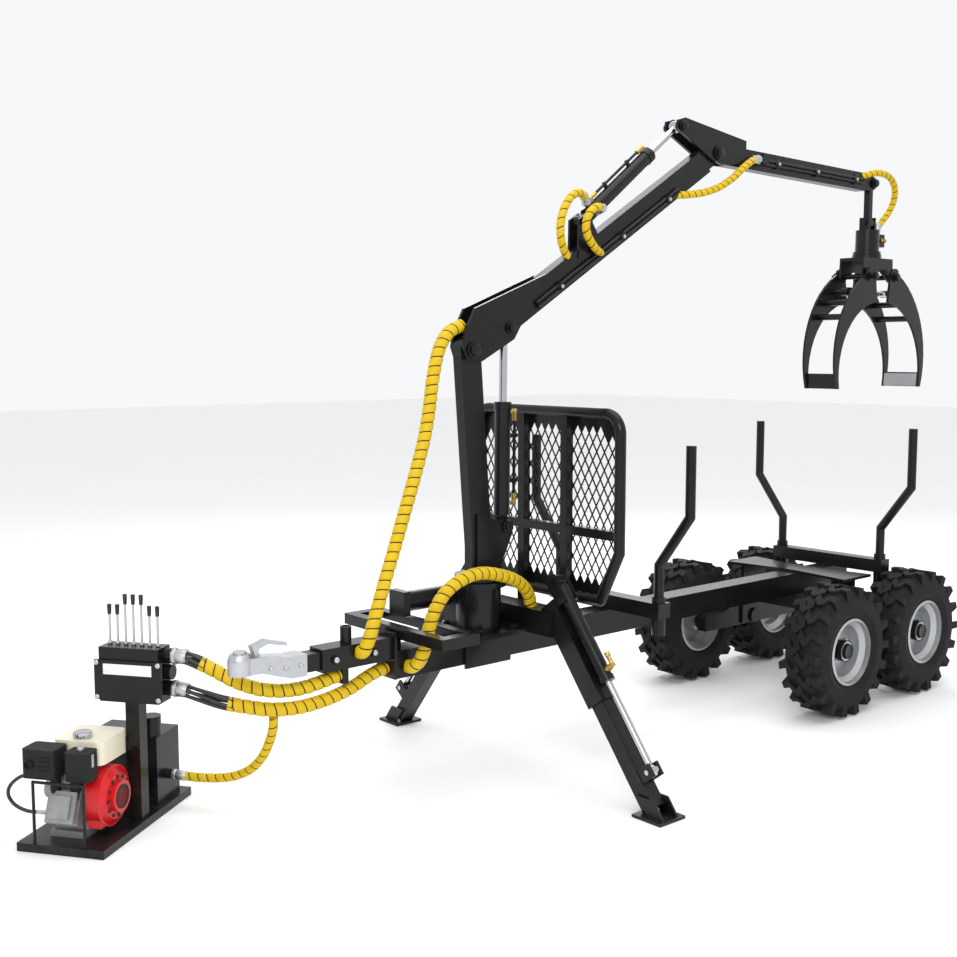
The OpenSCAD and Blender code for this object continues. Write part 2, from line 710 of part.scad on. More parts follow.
module column() {
    bore = pin_r + pin_gap;
    boss_r = 36;
    bracket_in = eye_w / 2 + 1;
    bracket_t = 10;
    half = column_d / 2;
    upward = dir2(column_bend, boom_pin);
    normal = [upward[1], -upward[0]];
    mitre = half * tan((90 - ang2(column_bend, boom_pin)) / 2);
    color(black) {
        difference() {
            union() {
                translate([slew_x, 0, slew_top]) cylinder(r = 90, h = 22);
                side_plate([[slew_x - half, slew_top + 20], [slew_x - half, column_bend[1] + mitre],
                    boom_pin - half * normal, boom_pin + half * normal,
                    [slew_x + half, column_bend[1] - mitre], [slew_x + half, slew_top + 20]],
                    -column_w / 2, column_w / 2);
                cross_pin(boom_pin, boss_r + 14, arm_w / 2 - 1);
                for (s = [-1, 1])
                    side_plate([[slew_x + 30, slew_top + 20], [slew_x + 30, lift_base[1] + 60], [slew_x - 50, lift_base[1] + 34],
                        [lift_base[0] - 30, lift_base[1] + 20], [lift_base[0] - 30, lift_base[1] - 26],
                        [slew_x - 75, slew_top + 20]],
                        s > 0 ? bracket_in : -bracket_in - bracket_t,
                        s > 0 ? bracket_in + bracket_t : -bracket_in);
            }
            cross_pin(boom_pin, bore, 100);
        }
        cross_pin(lift_base, eye_pin_r, bracket_in + bracket_t + 12);
    }
}

// A barrel along local X with its base eye at the origin
module barrel(d, len_b, rod_bore, width) {
    start = 42;
    difference() {
        union() {
            rotate([90, 0, 0]) cylinder(r = eye_r, h = width, center = true);
            translate([0, -12, -18]) cube([start + 5, 24, 36]);
            translate([start, 0, 0]) rotate([0, 90, 0]) cylinder(d = d, h = len_b - start);
            translate([len_b - 32, 0, 0]) rotate([0, 90, 0]) cylinder(d = d + 6, h = 32);
        }
        rotate([90, 0, 0]) cylinder(r = eye_pin_r + pin_gap, h = width + 20, center = true);
        translate([start + 18, 0, 0]) rotate([0, 90, 0]) cylinder(d = rod_bore, h = len_b);
    }
}

// A piston rod along local X, with its eye at reach from the base eye
module piston(d, inner, reach, width) {
    translate([inner, 0, 0]) rotate([0, 90, 0]) cylinder(d = d, h = reach - inner - eye_r + 4);
    difference() {
        translate([reach, 0, 0]) rotate([90, 0, 0]) cylinder(r = eye_r, h = width, center = true);
        translate([reach, 0, 0]) rotate([90, 0, 0]) cylinder(r = eye_pin_r, h = width + 2, center = true);
    }
}

lift_len = norm(lift_eye - lift_base);
stick_cyl_len = norm(stick_eye - stick_base);
lift_barrel_len = 468;
stick_barrel_len = 490;

module lift_barrel() {
    color(black) along(lift_base, lift_eye) barrel(barrel_d, lift_barrel_len, rod_d + 1, eye_w - 2);
}
module lift_rod() {
    color(steel) along(lift_base, lift_eye) piston(rod_d, 140, lift_len, eye_w - 4);
}
module stick_barrel() {
    color(black) along(stick_base, stick_eye) barrel(barrel_d, stick_barrel_len, rod_d + 1, eye_w - 2);
}
module stick_rod() {
    color(steel) along(stick_base, stick_eye) piston(rod_d, 110, stick_cyl_len, eye_w - 4);
}

// Two hinge plates with the same outline on either side of an arm
module plate_pair(outline) {
    side_plate(outline, plate_in, plate_out);
    side_plate(outline, -plate_out, -plate_in);
}

// Short pin heads in the plates only, so that nothing crosses the gap between them
module pin_heads(p, r) {
    for (s = [-1, 1])
        translate([p[0], s * (plate_in + 1), p[1]]) rotate([s > 0 ? -90 : 90, 0, 0]) cylinder(r = r, h = plate_t + 9);
}

module boom() {
    len_b = norm(stick_pin - boom_pin);
    tube_start = 250;
    nose = 330;
    ear_t = 10;
    ear_in = eye_w / 2 + 1;
    boom_dir = dir2(boom_pin, stick_pin);
    base_s = (stick_base - boom_pin) * boom_dir;
    ear_rise = norm(stick_base - boom_pin - base_s * boom_dir) - boom_h / 2;
    color(black) {
        bar(boom_pin, stick_pin, tube_start, len_b - nose, boom_h, arm_w + 2 * eps);
        bar(boom_pin, stick_pin, len_b - nose - 1, len_b - 72, boom_h, arm_w - 2);
        plate_pair([[boom_pin[0] - 42, boom_pin[1] - 42], [boom_pin[0] + 30, boom_pin[1] - 34],
            [boom_pin[0] + 48, boom_pin[1] + 10], [boom_pin[0] + 40, boom_pin[1] + 60],
            [boom_pin[0] - 10, boom_pin[1] + 150], [boom_pin[0] - 360, boom_pin[1] + 285],
            [boom_pin[0] - 200, boom_pin[1] + 40]]);
        cross_pin(boom_pin, pin_r, plate_out + 10);
        pin_heads(lift_eye, eye_pin_r);
        along(boom_pin, stick_pin) {
            for (s = [-1, 1])
                translate([base_s, s > 0 ? ear_in : -ear_in - ear_t, eps - boom_h / 2])
                    rotate([90, 0, 0]) mirror([0, 0, 1]) linear_extrude(ear_t)
                        polygon([[-110, 30], [34, 30], [28, -ear_rise - 26], [-28, -ear_rise - 26]]);
            difference() {
                union() {
                    translate([len_b, 0, 0]) rotate([90, 0, 0]) cylinder(r = 40, h = arm_w - 2, center = true);
                    translate([len_b - 80, -arm_w / 2 + 5, -40]) cube([80, arm_w - 10, 80]);
                }
                translate([len_b, 0, 0]) rotate([90, 0, 0]) cylinder(r = pin_r + pin_gap, h = 200, center = true);
            }
        }
        cross_pin(stick_base, eye_pin_r, ear_in + ear_t + 12);
    }
}

module stick() {
    len_s = norm(tip_pin - stick_pin);
    tube_start = 66;
    ear_in = 18;
    ear_t = 10;
    color(black) {
        bar(stick_pin, tip_pin, tube_start, len_s - 75, stick_h, arm_w + 2 * eps);
        plate_pair([[stick_eye[0] + 34, stick_eye[1] - 14], [stick_eye[0] + 26, stick_eye[1] + 24],
            [stick_eye[0] - 14, stick_eye[1] + 36], [stick_pin[0] - 190, stick_pin[1] + 70],
            [stick_pin[0] - 190, stick_pin[1] - 30], [stick_pin[0] - 20, stick_pin[1] - 46],
            [stick_pin[0] + 44, stick_pin[1] - 30]]);
        cross_pin(stick_pin, pin_r, plate_out + 10);
        pin_heads(stick_eye, eye_pin_r);
        translate([stick_pin[0] - 315, arm_w / 2, stick_pin[1] - 21]) cube([40, 40, 40]);
        along(stick_pin, tip_pin)
            for (s = [-1, 1])
                translate([0, s > 0 ? ear_in + ear_t : -ear_in, 0]) rotate([90, 0, 0]) linear_extrude(ear_t)
                    polygon([[len_s - 170, -stick_h / 2 + 4], [len_s - 60, -stick_h / 2 + 2], [len_s + 4, -30],
                        [len_s + 28, -10], [len_s + 28, 12], [len_s + 8, 30], [len_s - 60, stick_h / 2 - 2],
                        [len_s - 170, stick_h / 2 - 4]]);
        cross_pin(tip_pin, eye_pin_r, ear_in + ear_t + 12);
    }
}

// Places children with the origin at the tip pin
module at_tip() {
    translate([tip_pin[0], 0, tip_pin[1]]) children();
}

module tip_link() {
    neck = 30;
    color(black) at_tip() {
        difference() {
            union() {
                rotate([90, 0, 0]) cylinder(r = 27, h = 34, center = true);
                translate([-neck / 2, -neck / 2, -link_l]) cube([neck, neck, link_l]);
                translate([0, 0, -link_l]) rotate([0, 90, 0]) cylinder(r = 27, h = 34, center = true);
            }
            rotate([90, 0, 0]) cylinder(r = eye_pin_r + pin_gap, h = 60, center = true);
            translate([0, 0, -link_l]) rotate([0, 90, 0]) cylinder(r = eye_pin_r + pin_gap, h = 60, center = true);
        }
    }
}

module rotator() {
    fork_in = 19;
    fork_t = 10;
    color(black) at_tip() {
        translate([0, 0, -rotator_bottom]) cylinder(d = rotator_d, h = rotator_bottom - rotator_top);
        translate([0, 0, -rotator_bottom]) cylinder(d = rotator_d + 18, h = 14);
        for (s = [-1, 1])
            translate([s > 0 ? fork_in : -fork_in - fork_t, -28, -rotator_top - 4])
                cube([fork_t, 56, rotator_top - link_l + 30]);
        translate([-fork_in - fork_t - 10, 0, -link_l]) rotate([0, 90, 0])
            cylinder(r = eye_pin_r, h = 2 * (fork_in + fork_t + 10));
        translate([-rotator_d / 2 - 42, -35, -rotator_bottom + 40]) cube([55, 70, 62]);
    }
}

module grapple_head() {
    half = 128;
    t = 12;
    color(black) at_tip() {
        translate([0, 0, -head_top - 20]) cylinder(d = rotator_d + 24, h = 19);
        translate([-half, -head_plate_y - t / 2, -head_top - 34])
            cube([2 * half, 2 * head_plate_y + t, 16]);
        for (s = [-1, 1])
            translate([0, s * head_plate_y + t / 2, 0]) rotate([90, 0, 0]) linear_extrude(t)
                polygon([[-half, -head_top - 20], [half, -head_top - 20], [half + 6, -jaw_pin[1] - 6],
                    [half - 24, -head_bottom], [30, -head_bottom + 50], [-30, -head_bottom + 50],
                    [24 - half, -head_bottom], [-half - 6, -jaw_pin[1] - 6]]);
        for (x = [-1, 1])
            cross_pin([x * jaw_pin[0], -jaw_pin[1]], jaw_pin_r, jaw_gap / 2 + jaw_t / 2 + jaw_shift + 10);
    }
}

function arc(mid, r, a0, a1, n) =
    [for (i = [0 : n]) let (a = a0 + (a1 - a0) * i / n) mid + r * [cos(a), sin(a)]];

// Outline of a jaw plate: a sickle between two curves, with a round head at its pin
out_top = 64;
out_tip = asin((-jaw_tip - jaw_out_mid[1]) / jaw_out_r);
in_tip = asin((-jaw_tip - jaw_in_mid[1]) / jaw_in_r);
in_top = 84;
jaw_head_r = 42;
jaw_outline = concat(
    arc([jaw_pin[0], -jaw_pin[1]], jaw_head_r, 190, 50, 7),
    arc(jaw_out_mid, jaw_out_r, out_top, out_tip, 12),
    arc(jaw_in_mid, jaw_in_r, in_tip, in_top, 12));

// Cross tubes between the plates of a jaw, as [x, z] from the tip pin
jaw_tubes = [[232, -585], [278, -655]];
jaw_tube_d = 30;
tip_plate_l = 72;
tip_plate_t = 12;

// One jaw with its curve towards local +X, the origin at the tip pin
module jaw(gap, cyl_pin) {
    low = jaw_in_mid + jaw_in_r * [cos(in_tip), sin(in_tip)];
    color(black) {
        for (s = [-1, 1])
            difference() {
                side_plate(jaw_outline, s * gap / 2 - jaw_t / 2, s * gap / 2 + jaw_t / 2);
                cross_pin([jaw_pin[0], -jaw_pin[1]], jaw_pin_r + pin_gap, gap);
            }
        for (p = jaw_tubes) cross_pin(p, jaw_tube_d / 2, gap / 2);
        translate([low[0], -gap / 2, low[1]]) rotate([0, 6, 0]) translate([0, 0, 2])
            cube([tip_plate_t, gap, tip_plate_l]);
        if (cyl_pin)
            cross_pin([grip_pin[0], -grip_pin[1]], eye_pin_r, gap / 2);
        else
            for (s = [-1, 1])
                translate([grip_pin[0], s * gap / 2, -grip_pin[1]]) rotate([s > 0 ? 90 : -90, 0, 0])
                    cylinder(r = eye_pin_r, h = gap / 2 - 20);
    }
}

module front_jaw() {
    at_tip() jaw(jaw_gap, true);
}
module rear_jaw() {
    at_tip() mirror([1, 0, 0]) jaw(jaw_gap + 2 * jaw_shift, false);
}

grip_d = 44;
grip_rod_d = 22;
grip_len = 2 * grip_pin[0];

module grapple_barrel() {
    color(black) at_tip() translate([grip_pin[0], 0, -grip_pin[1]]) mirror([1, 0, 0]) {
        difference() {
            union() {
                rotate([90, 0, 0]) cylinder(r = 21, h = 36, center = true);
                translate([15, 0, 0]) rotate([0, 90, 0]) cylinder(d = grip_d, h = 190);
            }
            rotate([90, 0, 0]) cylinder(r = eye_pin_r + pin_gap, h = 60, center = true);
            translate([40, 0, 0]) rotate([0, 90, 0]) cylinder(d = grip_rod_d + 1, h = 300);
        }
    }
}

module grapple_rod() {
    color(steel) at_tip() translate([grip_pin[0], 0, -grip_pin[1]]) mirror([1, 0, 0]) {
        translate([150, 0, 0]) rotate([0, 90, 0]) cylinder(d = grip_rod_d, h = grip_len - 168);
        difference() {
            translate([grip_len, 0, 0]) rotate([90, 0, 0]) cylinder(r = 20, h = 34, center = true);
            translate([grip_len, 0, 0]) rotate([90, 0, 0]) cylinder(r = eye_pin_r, h = 40, center = true);
        }
    }
}

// Places children on the power pack's tray, local X along its long side
module on_pack() {
    translate([pack_corner[0], pack_corner[1], ground]) rotate([0, 0, pack_turn]) children();
}

post_at = [293, 38];
post_w = 50;
valve_z = 435;
valve_h = 185;
valve_half = 108;
valve_depth = 84;

module pack_tray() {
    wall = 4;
    bar_d = 10;
    guard_x = 10;
    guard_y = [70, 250];
    guard_z = 230;
    color(black) on_pack() {
        difference() {
            cube([pack_l, pack_w, tray_h]);
            translate([wall, wall, -1]) cube([pack_l - 2 * wall, pack_w - 2 * wall, tray_h - wall + 1]);
        }
        translate([post_at[0] - post_w / 2, post_at[1] - post_w / 2, tray_h - eps])
            cube([post_w, post_w, valve_z - tray_h + eps]);
        for (y = guard_y) rod([guard_x, y, tray_h - 1], [guard_x, y, guard_z], bar_d);
        rod([guard_x, guard_y[0], guard_z], [guard_x, guard_y[1], guard_z], bar_d);
        for (y = guard_y) translate([guard_x, y, guard_z]) sphere(d = bar_d + eps);
    }
}

crank = [165, 175];
module engine_block() {
    fins = 6;
    lean = 20;
    color([0.55, 0.56, 0.58]) on_pack() {
        translate([75, 108, tray_h]) cube([180, 127, 22]);
        translate([98, 108, tray_h + 21]) cube([142, 124, 150]);
        translate([crank[0], 231, crank[1] - 20]) rotate([-90, 0, 0]) cylinder(d = 90, h = 32);
        translate([108, 170, 118]) rotate([0, 180 + lean, 0]) {
            translate([0, -45, -45]) cube([66, 90, 90]);
            for (i = [0 : fins - 1]) translate([16 + i * 8, -56, -54]) cube([4, 112, 108]);
            translate([65, -50, -50]) cube([12, 100, 100]);
            translate([76, -36, -36]) cube([12, 72, 72]);
        }
        translate([crank[0], 262, crank[1] - 20]) rotate([-90, 0, 0]) cylinder(d = 64, h = 30);
        translate([118, 231, 200]) rotate([-90, 0, 0]) cylinder(d = 26, h = 31);
        translate([126, 231, 86]) rotate([-90, 0, 0]) cylinder(d = 26, h = 31);
        translate([112, 225, 190]) cube([40, 12, 30]);
    }
}

module engine_fan_cover() {
    r = 100;
    color([0.80, 0.05, 0.06]) on_pack() translate([crank[0], 0, 148]) {
        translate([0, 108, 0]) rotate([90, 0, 0]) cylinder(r = r, h = 53);
        translate([0, 56, 0]) rotate([90, 0, 0]) cylinder(r1 = r - 6, r2 = r - 26, h = 16);
        translate([0, 41, 0]) rotate([90, 0, 0]) cylinder(r = 52, h = 18);
        translate([-80, 57, -86]) cube([94, 51, 100]);
    }
}

module fuel_tank() {
    color([0.93, 0.90, 0.78]) on_pack() {
        translate([110, 62, 262]) round_box([170, 180, 78], 26);
        translate([150, 152, 339]) cylinder(r = 28, h = 18);
        for (y = [110, 190]) translate([170, y, 199]) cube([30, 20, 64]);
    }
}

module air_cleaner() {
    color(black) on_pack() {
        translate([30, 66, 232]) round_box([70, 86, 94], 14);
        translate([60, 118, 160]) cube([34, 30, 73]);
    }
}

module muffler() {
    color(black) on_pack() {
        translate([14, 176, 238]) round_box([86, 116, 96], 12);
        translate([66, 204, 180]) cylinder(d = 34, h = 59);
    }
}

module oil_tank() {
    color(black) on_pack() {
        translate([400, 24, tray_h]) cube([160, 262, 242]);
        translate([480, 120, tray_h + 241]) cylinder(d = 60, h = 24);
        translate([430, 60, tray_h + 241]) cylinder(d = 70, h = 70);
        translate([470, 25, 120]) rotate([90, 0, 0]) cylinder(d = 34, h = 22);
    }
}

module valve_block() {
    y0 = post_at[1] - valve_half;
    color(black) on_pack() {
        translate([post_at[0] - valve_depth / 2, y0, valve_z]) cube([valve_depth, 2 * valve_half, valve_h]);
        translate([post_at[0] - valve_depth / 2 - 8, y0 - 14, valve_z + 8])
            cube([9, 2 * valve_half + 28, valve_h - 50]);
        for (z = [45, 100, 155])
            translate([post_at[0] + 10, y0 + 1, valve_z + z]) rotate([90, 0, 0]) cylinder(d = bundle_d + 3, h = 28);
    }
}

module valve_levers() {
    tall = [0, 0, 1, 1, 1, 0, 0, 0];
    step = (2 * valve_half - 40) / (lever_count - 1);
    on_pack()
        for (i = [0 : lever_count - 1])
            translate([post_at[0], post_at[1] + valve_half - 20 - i * step, valve_z + valve_h]) {
                reach = tall[i] == 1 ? 172 : 136;
                color(steel) cylinder(d = 8, h = reach);
                color(black) translate([0, 0, reach - 34]) cylinder(d = 15, h = 36);
            }
}

main_beam();
drawbar_sleeve();
drawbar_tube();
ball_coupler();
coupler_lever();
platform_frame();
headboard_frame();
headboard_mesh();
bunks();
stakes();
axle_beam();
bogie_beams();
crane_base();
leg_frame();
leg_barrels();
pack_tray();
engine_block();
engine_fan_cover();
fuel_tank();
air_cleaner();
muffler();
oil_tank();
valve_block();
valve_levers();
tyre(front_axle, 1);  // front_left_tyre
rim(front_axle, 1);  // front_left_rim
tyre(front_axle, -1);  // front_right_tyre
rim(front_axle, -1);  // front_right_rim
tyre(rear_axle, 1);  // rear_left_tyre
rim(rear_axle, 1);  // rear_left_rim
tyre(rear_axle, -1);  // rear_right_tyre
rim(rear_axle, -1);  // rear_right_rim
leg_tube(1);  // left_leg
leg_rod(1);  // left_leg_rod
leg_tube(-1);  // right_leg
leg_rod(-1);  // right_leg_rod
column();
lift_barrel();
lift_rod();
boom();
stick_barrel();
stick_rod();
stick();
tip_link();
rotator();
grapple_head();
front_jaw();
rear_jaw();
grapple_barrel();
grapple_rod();
color(yellow) hose(boom_feed_route, bundle_d);  // boom_feed_hose
color(yellow) hose(base_route, bundle_d);  // base_hose
color(yellow) hose(valve_upper_route, bundle_d);  // valve_hose_upper
color(yellow) hose(valve_lower_route, bundle_d);  // valve_hose_lower
color(yellow) hose(tank_route, hose_d);  // tank_hose
color(yellow) hose(boom_hose_route, hose_d);  // boom_hose
color(yellow) hose(ram_hose_route, hose_d);  // ram_hose
color(yellow) hose(stick_hose_route, hose_d);  // stick_hose
color(yellow) hose(tip_hose_route, hose_d);  // tip_hose
color(rubber) on_pack() hose(engine_hose_route, line_d);  // engine_hose
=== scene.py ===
"""Looks of a log trailer with a grapple crane and a hydraulic power pack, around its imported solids."""
import math

import bpy
from mathutils import Matrix, Vector


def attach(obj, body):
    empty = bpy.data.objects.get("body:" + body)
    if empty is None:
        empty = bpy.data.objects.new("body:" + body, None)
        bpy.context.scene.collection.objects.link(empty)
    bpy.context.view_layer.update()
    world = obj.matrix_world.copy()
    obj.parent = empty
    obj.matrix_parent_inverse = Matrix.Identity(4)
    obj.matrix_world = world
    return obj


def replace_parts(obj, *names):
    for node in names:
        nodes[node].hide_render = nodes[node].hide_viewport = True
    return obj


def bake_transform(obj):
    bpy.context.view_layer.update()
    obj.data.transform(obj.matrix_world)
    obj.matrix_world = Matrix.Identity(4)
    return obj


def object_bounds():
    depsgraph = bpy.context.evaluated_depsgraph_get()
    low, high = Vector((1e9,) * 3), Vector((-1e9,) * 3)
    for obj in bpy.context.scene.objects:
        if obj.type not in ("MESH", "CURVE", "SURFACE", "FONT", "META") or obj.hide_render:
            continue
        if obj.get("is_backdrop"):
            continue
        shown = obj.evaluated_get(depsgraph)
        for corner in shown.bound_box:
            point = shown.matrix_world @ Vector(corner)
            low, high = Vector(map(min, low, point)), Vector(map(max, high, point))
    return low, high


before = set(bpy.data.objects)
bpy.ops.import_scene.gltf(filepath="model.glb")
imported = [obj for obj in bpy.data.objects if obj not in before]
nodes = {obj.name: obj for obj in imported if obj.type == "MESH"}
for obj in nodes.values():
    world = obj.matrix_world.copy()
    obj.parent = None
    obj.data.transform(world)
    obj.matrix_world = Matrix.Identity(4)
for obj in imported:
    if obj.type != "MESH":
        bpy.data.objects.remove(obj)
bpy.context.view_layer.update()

# The studio: a pale sheet under the trailer, a large soft panel overhead, one from the side and one
# from behind. The camera stands off the front left corner at head height.
ground = -0.581
floor_size, floor_x, floor_drop = 60, -1.5, 0.001
camera_at = Vector((1.937, 3.457, 1.015))
camera_forward = Vector((-0.6455, -0.7569, -0.1024))
camera_right = Vector((-0.761, 0.649, 0.0)).normalized()
camera_up = camera_right.cross(camera_forward)

lens = bpy.data.cameras.new("camera")
lens.sensor_width = 36
lens.lens = 46.31
camera = bpy.data.objects.new("camera", lens)
bpy.context.scene.collection.objects.link(camera)
turn = Matrix((camera_right, camera_up, -camera_forward)).transposed()
camera.matrix_world = Matrix.Translation(camera_at) @ turn.to_4x4()
bpy.context.scene.camera = camera


def deselect():
    if bpy.context.mode != "OBJECT":
        bpy.ops.object.mode_set(mode="OBJECT")
    bpy.ops.object.select_all(action="DESELECT")


deselect()
bpy.ops.mesh.primitive_plane_add(size=floor_size, location=(floor_x, 0, ground - floor_drop))
floor = bpy.context.object
floor.name = "studio_floor"
floor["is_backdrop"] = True

panels = (
    ("panel_top", (-1.5, 0.5, 5.5), (-1.5, 0.0, 0.0), 5.0, 150),
    ("panel_side", (3.4, 4.6, 3.6), (-1.5, 0.0, 0.4), 2.4, 170),
    ("panel_back", (-5.5, -4.0, 3.5), (-2.0, 0.0, 0.8), 3.5, 110),
)
for name, place, aim, size, power in panels:
    light = bpy.data.lights.new(name, "AREA")
    light.size = size
    light.energy = power
    lamp = bpy.data.objects.new(name, light)
    lamp.location = place
    lamp.rotation_mode = "QUATERNION"
    lamp.rotation_quaternion = (Vector(aim) - Vector(place)).to_track_quat("-Z", "Y")
    bpy.context.scene.collection.objects.link(lamp)

world = bpy.data.worlds.new("studio")
world.use_nodes = True
world.node_tree.nodes["Background"].inputs["Color"].default_value = (0.97, 0.985, 1.0, 1)
world.node_tree.nodes["Background"].inputs["Strength"].default_value = 0.95
bpy.context.scene.world = world
bpy.context.scene.view_settings.view_transform = "Standard"


class Shade:
    """A socket of a material's tree, so that shader maths reads as arithmetic."""

    def __init__(self, tree, socket=None):
        self.tree, self.socket = tree, socket

    def node(self, kind, settings=None, values=None, out=0):
        made = self.tree.nodes.new("ShaderNode" + kind)
        for key, setting in (settings or {}).items():
            setattr(made, key, setting)
        for key, value in (values or {}).items():
            if isinstance(value, Shade):
                self.tree.links.new(value.socket, made.inputs[key])
            else:
                made.inputs[key].default_value = value
        return Shade(self.tree, made.outputs[out])

    def math(self, operation, first, second=0.0):
        return self.node("Math", {"operation": operation}, {0: first, 1: second})

    def mix(self, share, dark, light):
        dark, light = ((*c, 1) if isinstance(c, tuple) else c for c in (dark, light))
        return self.node("Mix", {"data_type": "RGBA"}, {0: share, 6: dark, 7: light}, out=2)

    def clamp(self):
        return self.math("MINIMUM", self.math("MAXIMUM", self, 0.0), 1.0)

    def __add__(self, other):
        return self.math("ADD", self, other)

    def __sub__(self, other):
        return self.math("SUBTRACT", self, other)

    def __rsub__(self, other):
        return self.math("SUBTRACT", other, self)

    def __mul__(self, other):
        return self.math("MULTIPLY", self, other)

    def __truediv__(self, other):
        return self.math("DIVIDE", self, other)

    def __lt__(self, other):
        return self.math("LESS_THAN", self, other)

    __radd__, __rmul__ = __add__, __mul__


def finish(name, **fixed):
    """A new material, a start for its shader maths, and its shader with the fixed values set."""
    material = bpy.data.materials.new(name)
    material.use_nodes = True
    tree = material.node_tree
    shader = tree.nodes["Principled BSDF"]
    for key, value in fixed.items():
        shader.inputs[key.replace("_", " ")].default_value = value
    return material, Shade(tree), shader


def feed(shade, shader, **links):
    for key, value in links.items():
        shade.tree.links.new(value.socket, shader.inputs[key.replace("_", " ")])


def place_of(shade):
    return shade.node("TexCoord", out=3)


def speckle(shade, scale, detail=3.0, rough=0.5):
    return shade.node("TexNoise", {}, {"Vector": place_of(shade), "Scale": scale, "Detail": detail,
                                       "Roughness": rough})


def bump(shade, height, strength, distance):
    return shade.node("Bump", {}, {"Height": height, "Strength": strength, "Distance": distance})


def above_ground(shade):
    return shade.node("SeparateXYZ", {}, {0: place_of(shade)}, out=2) - ground


def paper():
    material, shade, shader = finish("studio_sheet", Roughness=0.9)
    soft = speckle(shade, 0.6)
    feed(shade, shader, Base_Color=shade.mix(soft, (0.90, 0.90, 0.90), (0.93, 0.93, 0.93)))
    return material


floor.data.materials.append(paper())

# The hoses: rubber pressure hoses in bundles inside a yellow plastic spiral wrap, whose turns leave
# dark gaps. Their routes are the solids' own points, drawn as one smooth curve through them.
bundle_d, hose_d, line_d = 0.048, 0.032, 0.012
pack_corner, pack_turn = Vector((0.409, -0.157, ground)), math.radians(216)
routes = {
    "boom_feed_hose": (bundle_d, [
        (-440, 40, -10), (-442, 62, -4), (-454, 74, 32), (-478, 74, 95), (-517, 66, 190), (-582, 55, 340),
        (-648, 44, 494), (-700, 36, 620), (-738, 28, 720), (-765, 20, 820), (-787, 14, 925),
        (-820, 8, 1025), (-870, 2, 1085), (-930, 0, 1110)]),
    "base_hose": (bundle_d, [
        (-640, 50, -90), (-642, 76, -88), (-654, 100, -65), (-668, 112, -20), (-680, 118, 40),
        (-703, 124, 110), (-750, 130, 172), (-822, 134, 210), (-907, 136, 222), (-1000, 132, 204),
        (-1080, 122, 176), (-1138, 112, 140), (-1174, 104, 98), (-1182, 102, 60)]),
    "valve_hose_upper": (bundle_d, [
        (107, -257, 9), (88, -232, 8), (55, -192, -6), (10, -150, -36), (-40, -105, -72),
        (-100, -60, -99), (-170, -30, -112), (-240, -10, -111), (-310, 0, -100), (-350, 0, -92),
        (-380, 0, -90)]),
    "valve_hose_lower": (bundle_d, [
        (107, -257, -101), (88, -232, -104), (50, -185, -120), (0, -125, -140), (-60, -70, -155),
        (-130, -30, -169), (-220, -8, -174), (-320, 0, -166), (-420, 0, -146), (-500, 0, -116),
        (-550, 0, -101), (-580, 0, -98)]),
    "tank_hose": (hose_d, [
        (31, -435, -461), (10, -406, -463), (-30, -355, -466), (-75, -295, -462), (-110, -235, -445),
        (-135, -175, -410), (-148, -120, -355), (-150, -75, -290), (-145, -45, -240), (-140, -32, -198)]),
    "boom_hose": (hose_d, [
        (-1570, 0, 1588), (-1552, 4, 1612), (-1515, 14, 1628), (-1462, 26, 1612), (-1415, 34, 1565),
        (-1392, 36, 1505), (-1398, 32, 1445), (-1425, 22, 1402), (-1448, 16, 1378)]),
    "ram_hose": (hose_d, [
        (-1591, 33, 1562), (-1584, 58, 1566), (-1560, 76, 1572), (-1520, 80, 1560), (-1492, 76, 1520),
        (-1500, 70, 1470), (-1545, 58, 1428), (-1590, 42, 1408), (-1625, 25, 1400)]),
    "stick_hose": (hose_d, [
        (-2070, 26, 1662), (-2130, 44, 1668), (-2210, 56, 1682), (-2300, 62, 1710), (-2390, 62, 1755),
        (-2450, 60, 1795), (-2510, 56, 1832), (-2558, 50, 1852), (-2596, 48, 1857)]),
    "tip_hose": (hose_d, [
        (-3440, 22, 1862), (-3500, 40, 1880), (-3570, 52, 1885), (-3640, 56, 1868), (-3695, 48, 1825),
        (-3712, 34, 1765), (-3692, 18, 1705), (-3648, 6, 1655), (-3622, 2, 1622), (-3618, 0, 1598)]),
    "engine_hose": (line_d, [
        (118, 262, 212), (112, 300, 216), (104, 350, 210), (98, 390, 180), (98, 402, 145), (104, 384, 110),
        (114, 345, 88), (122, 296, 84), (126, 262, 86)]),
}
crossings = {
    "boom_feed_hose": ("chassis", "column"),
    "stick_hose": ("boom", "stick"),
    "tip_hose": ("stick", "tip_link"),
}
wrap_pitch, wrap_share = 0.034, 0.88
gap_radius, band_slope = 0.86, 0.07
hose_sides = 16
wrap_step, line_step = 0.0035, 0.006
bare_start = {"valve_hose_upper": 0.10, "valve_hose_lower": 0.20}
bare_strands, strand_tuck, strand_twist = 6, 6, 0.8


def on_pack(point):
    return pack_corner + Matrix.Rotation(pack_turn, 3, "Z") @ Vector(point)


def through(points, step):
    """Points of one smooth curve through the route, close together and evenly spaced."""
    ends = [points[0] * 2 - points[1], *points, points[-1] * 2 - points[-2]]
    fine = []
    for a, b, c, d in zip(ends, ends[1:], ends[2:], ends[3:]):
        count = max(2, round((c - b).length / step))
        for k in range(count):
            t = k / count
            fine.append(0.5 * (2 * b + (c - a) * t + (2 * a - 5 * b + 4 * c - d) * t ** 2
                               + (3 * b - 3 * c + d - a) * t ** 3))
    return [*fine, points[-1]]


def headings(line):
    """The way that the line runs at each of its points."""
    last = len(line) - 1
    return [(line[min(i + 1, last)] - line[max(i - 1, 0)]).normalized() for i in range(last + 1)]


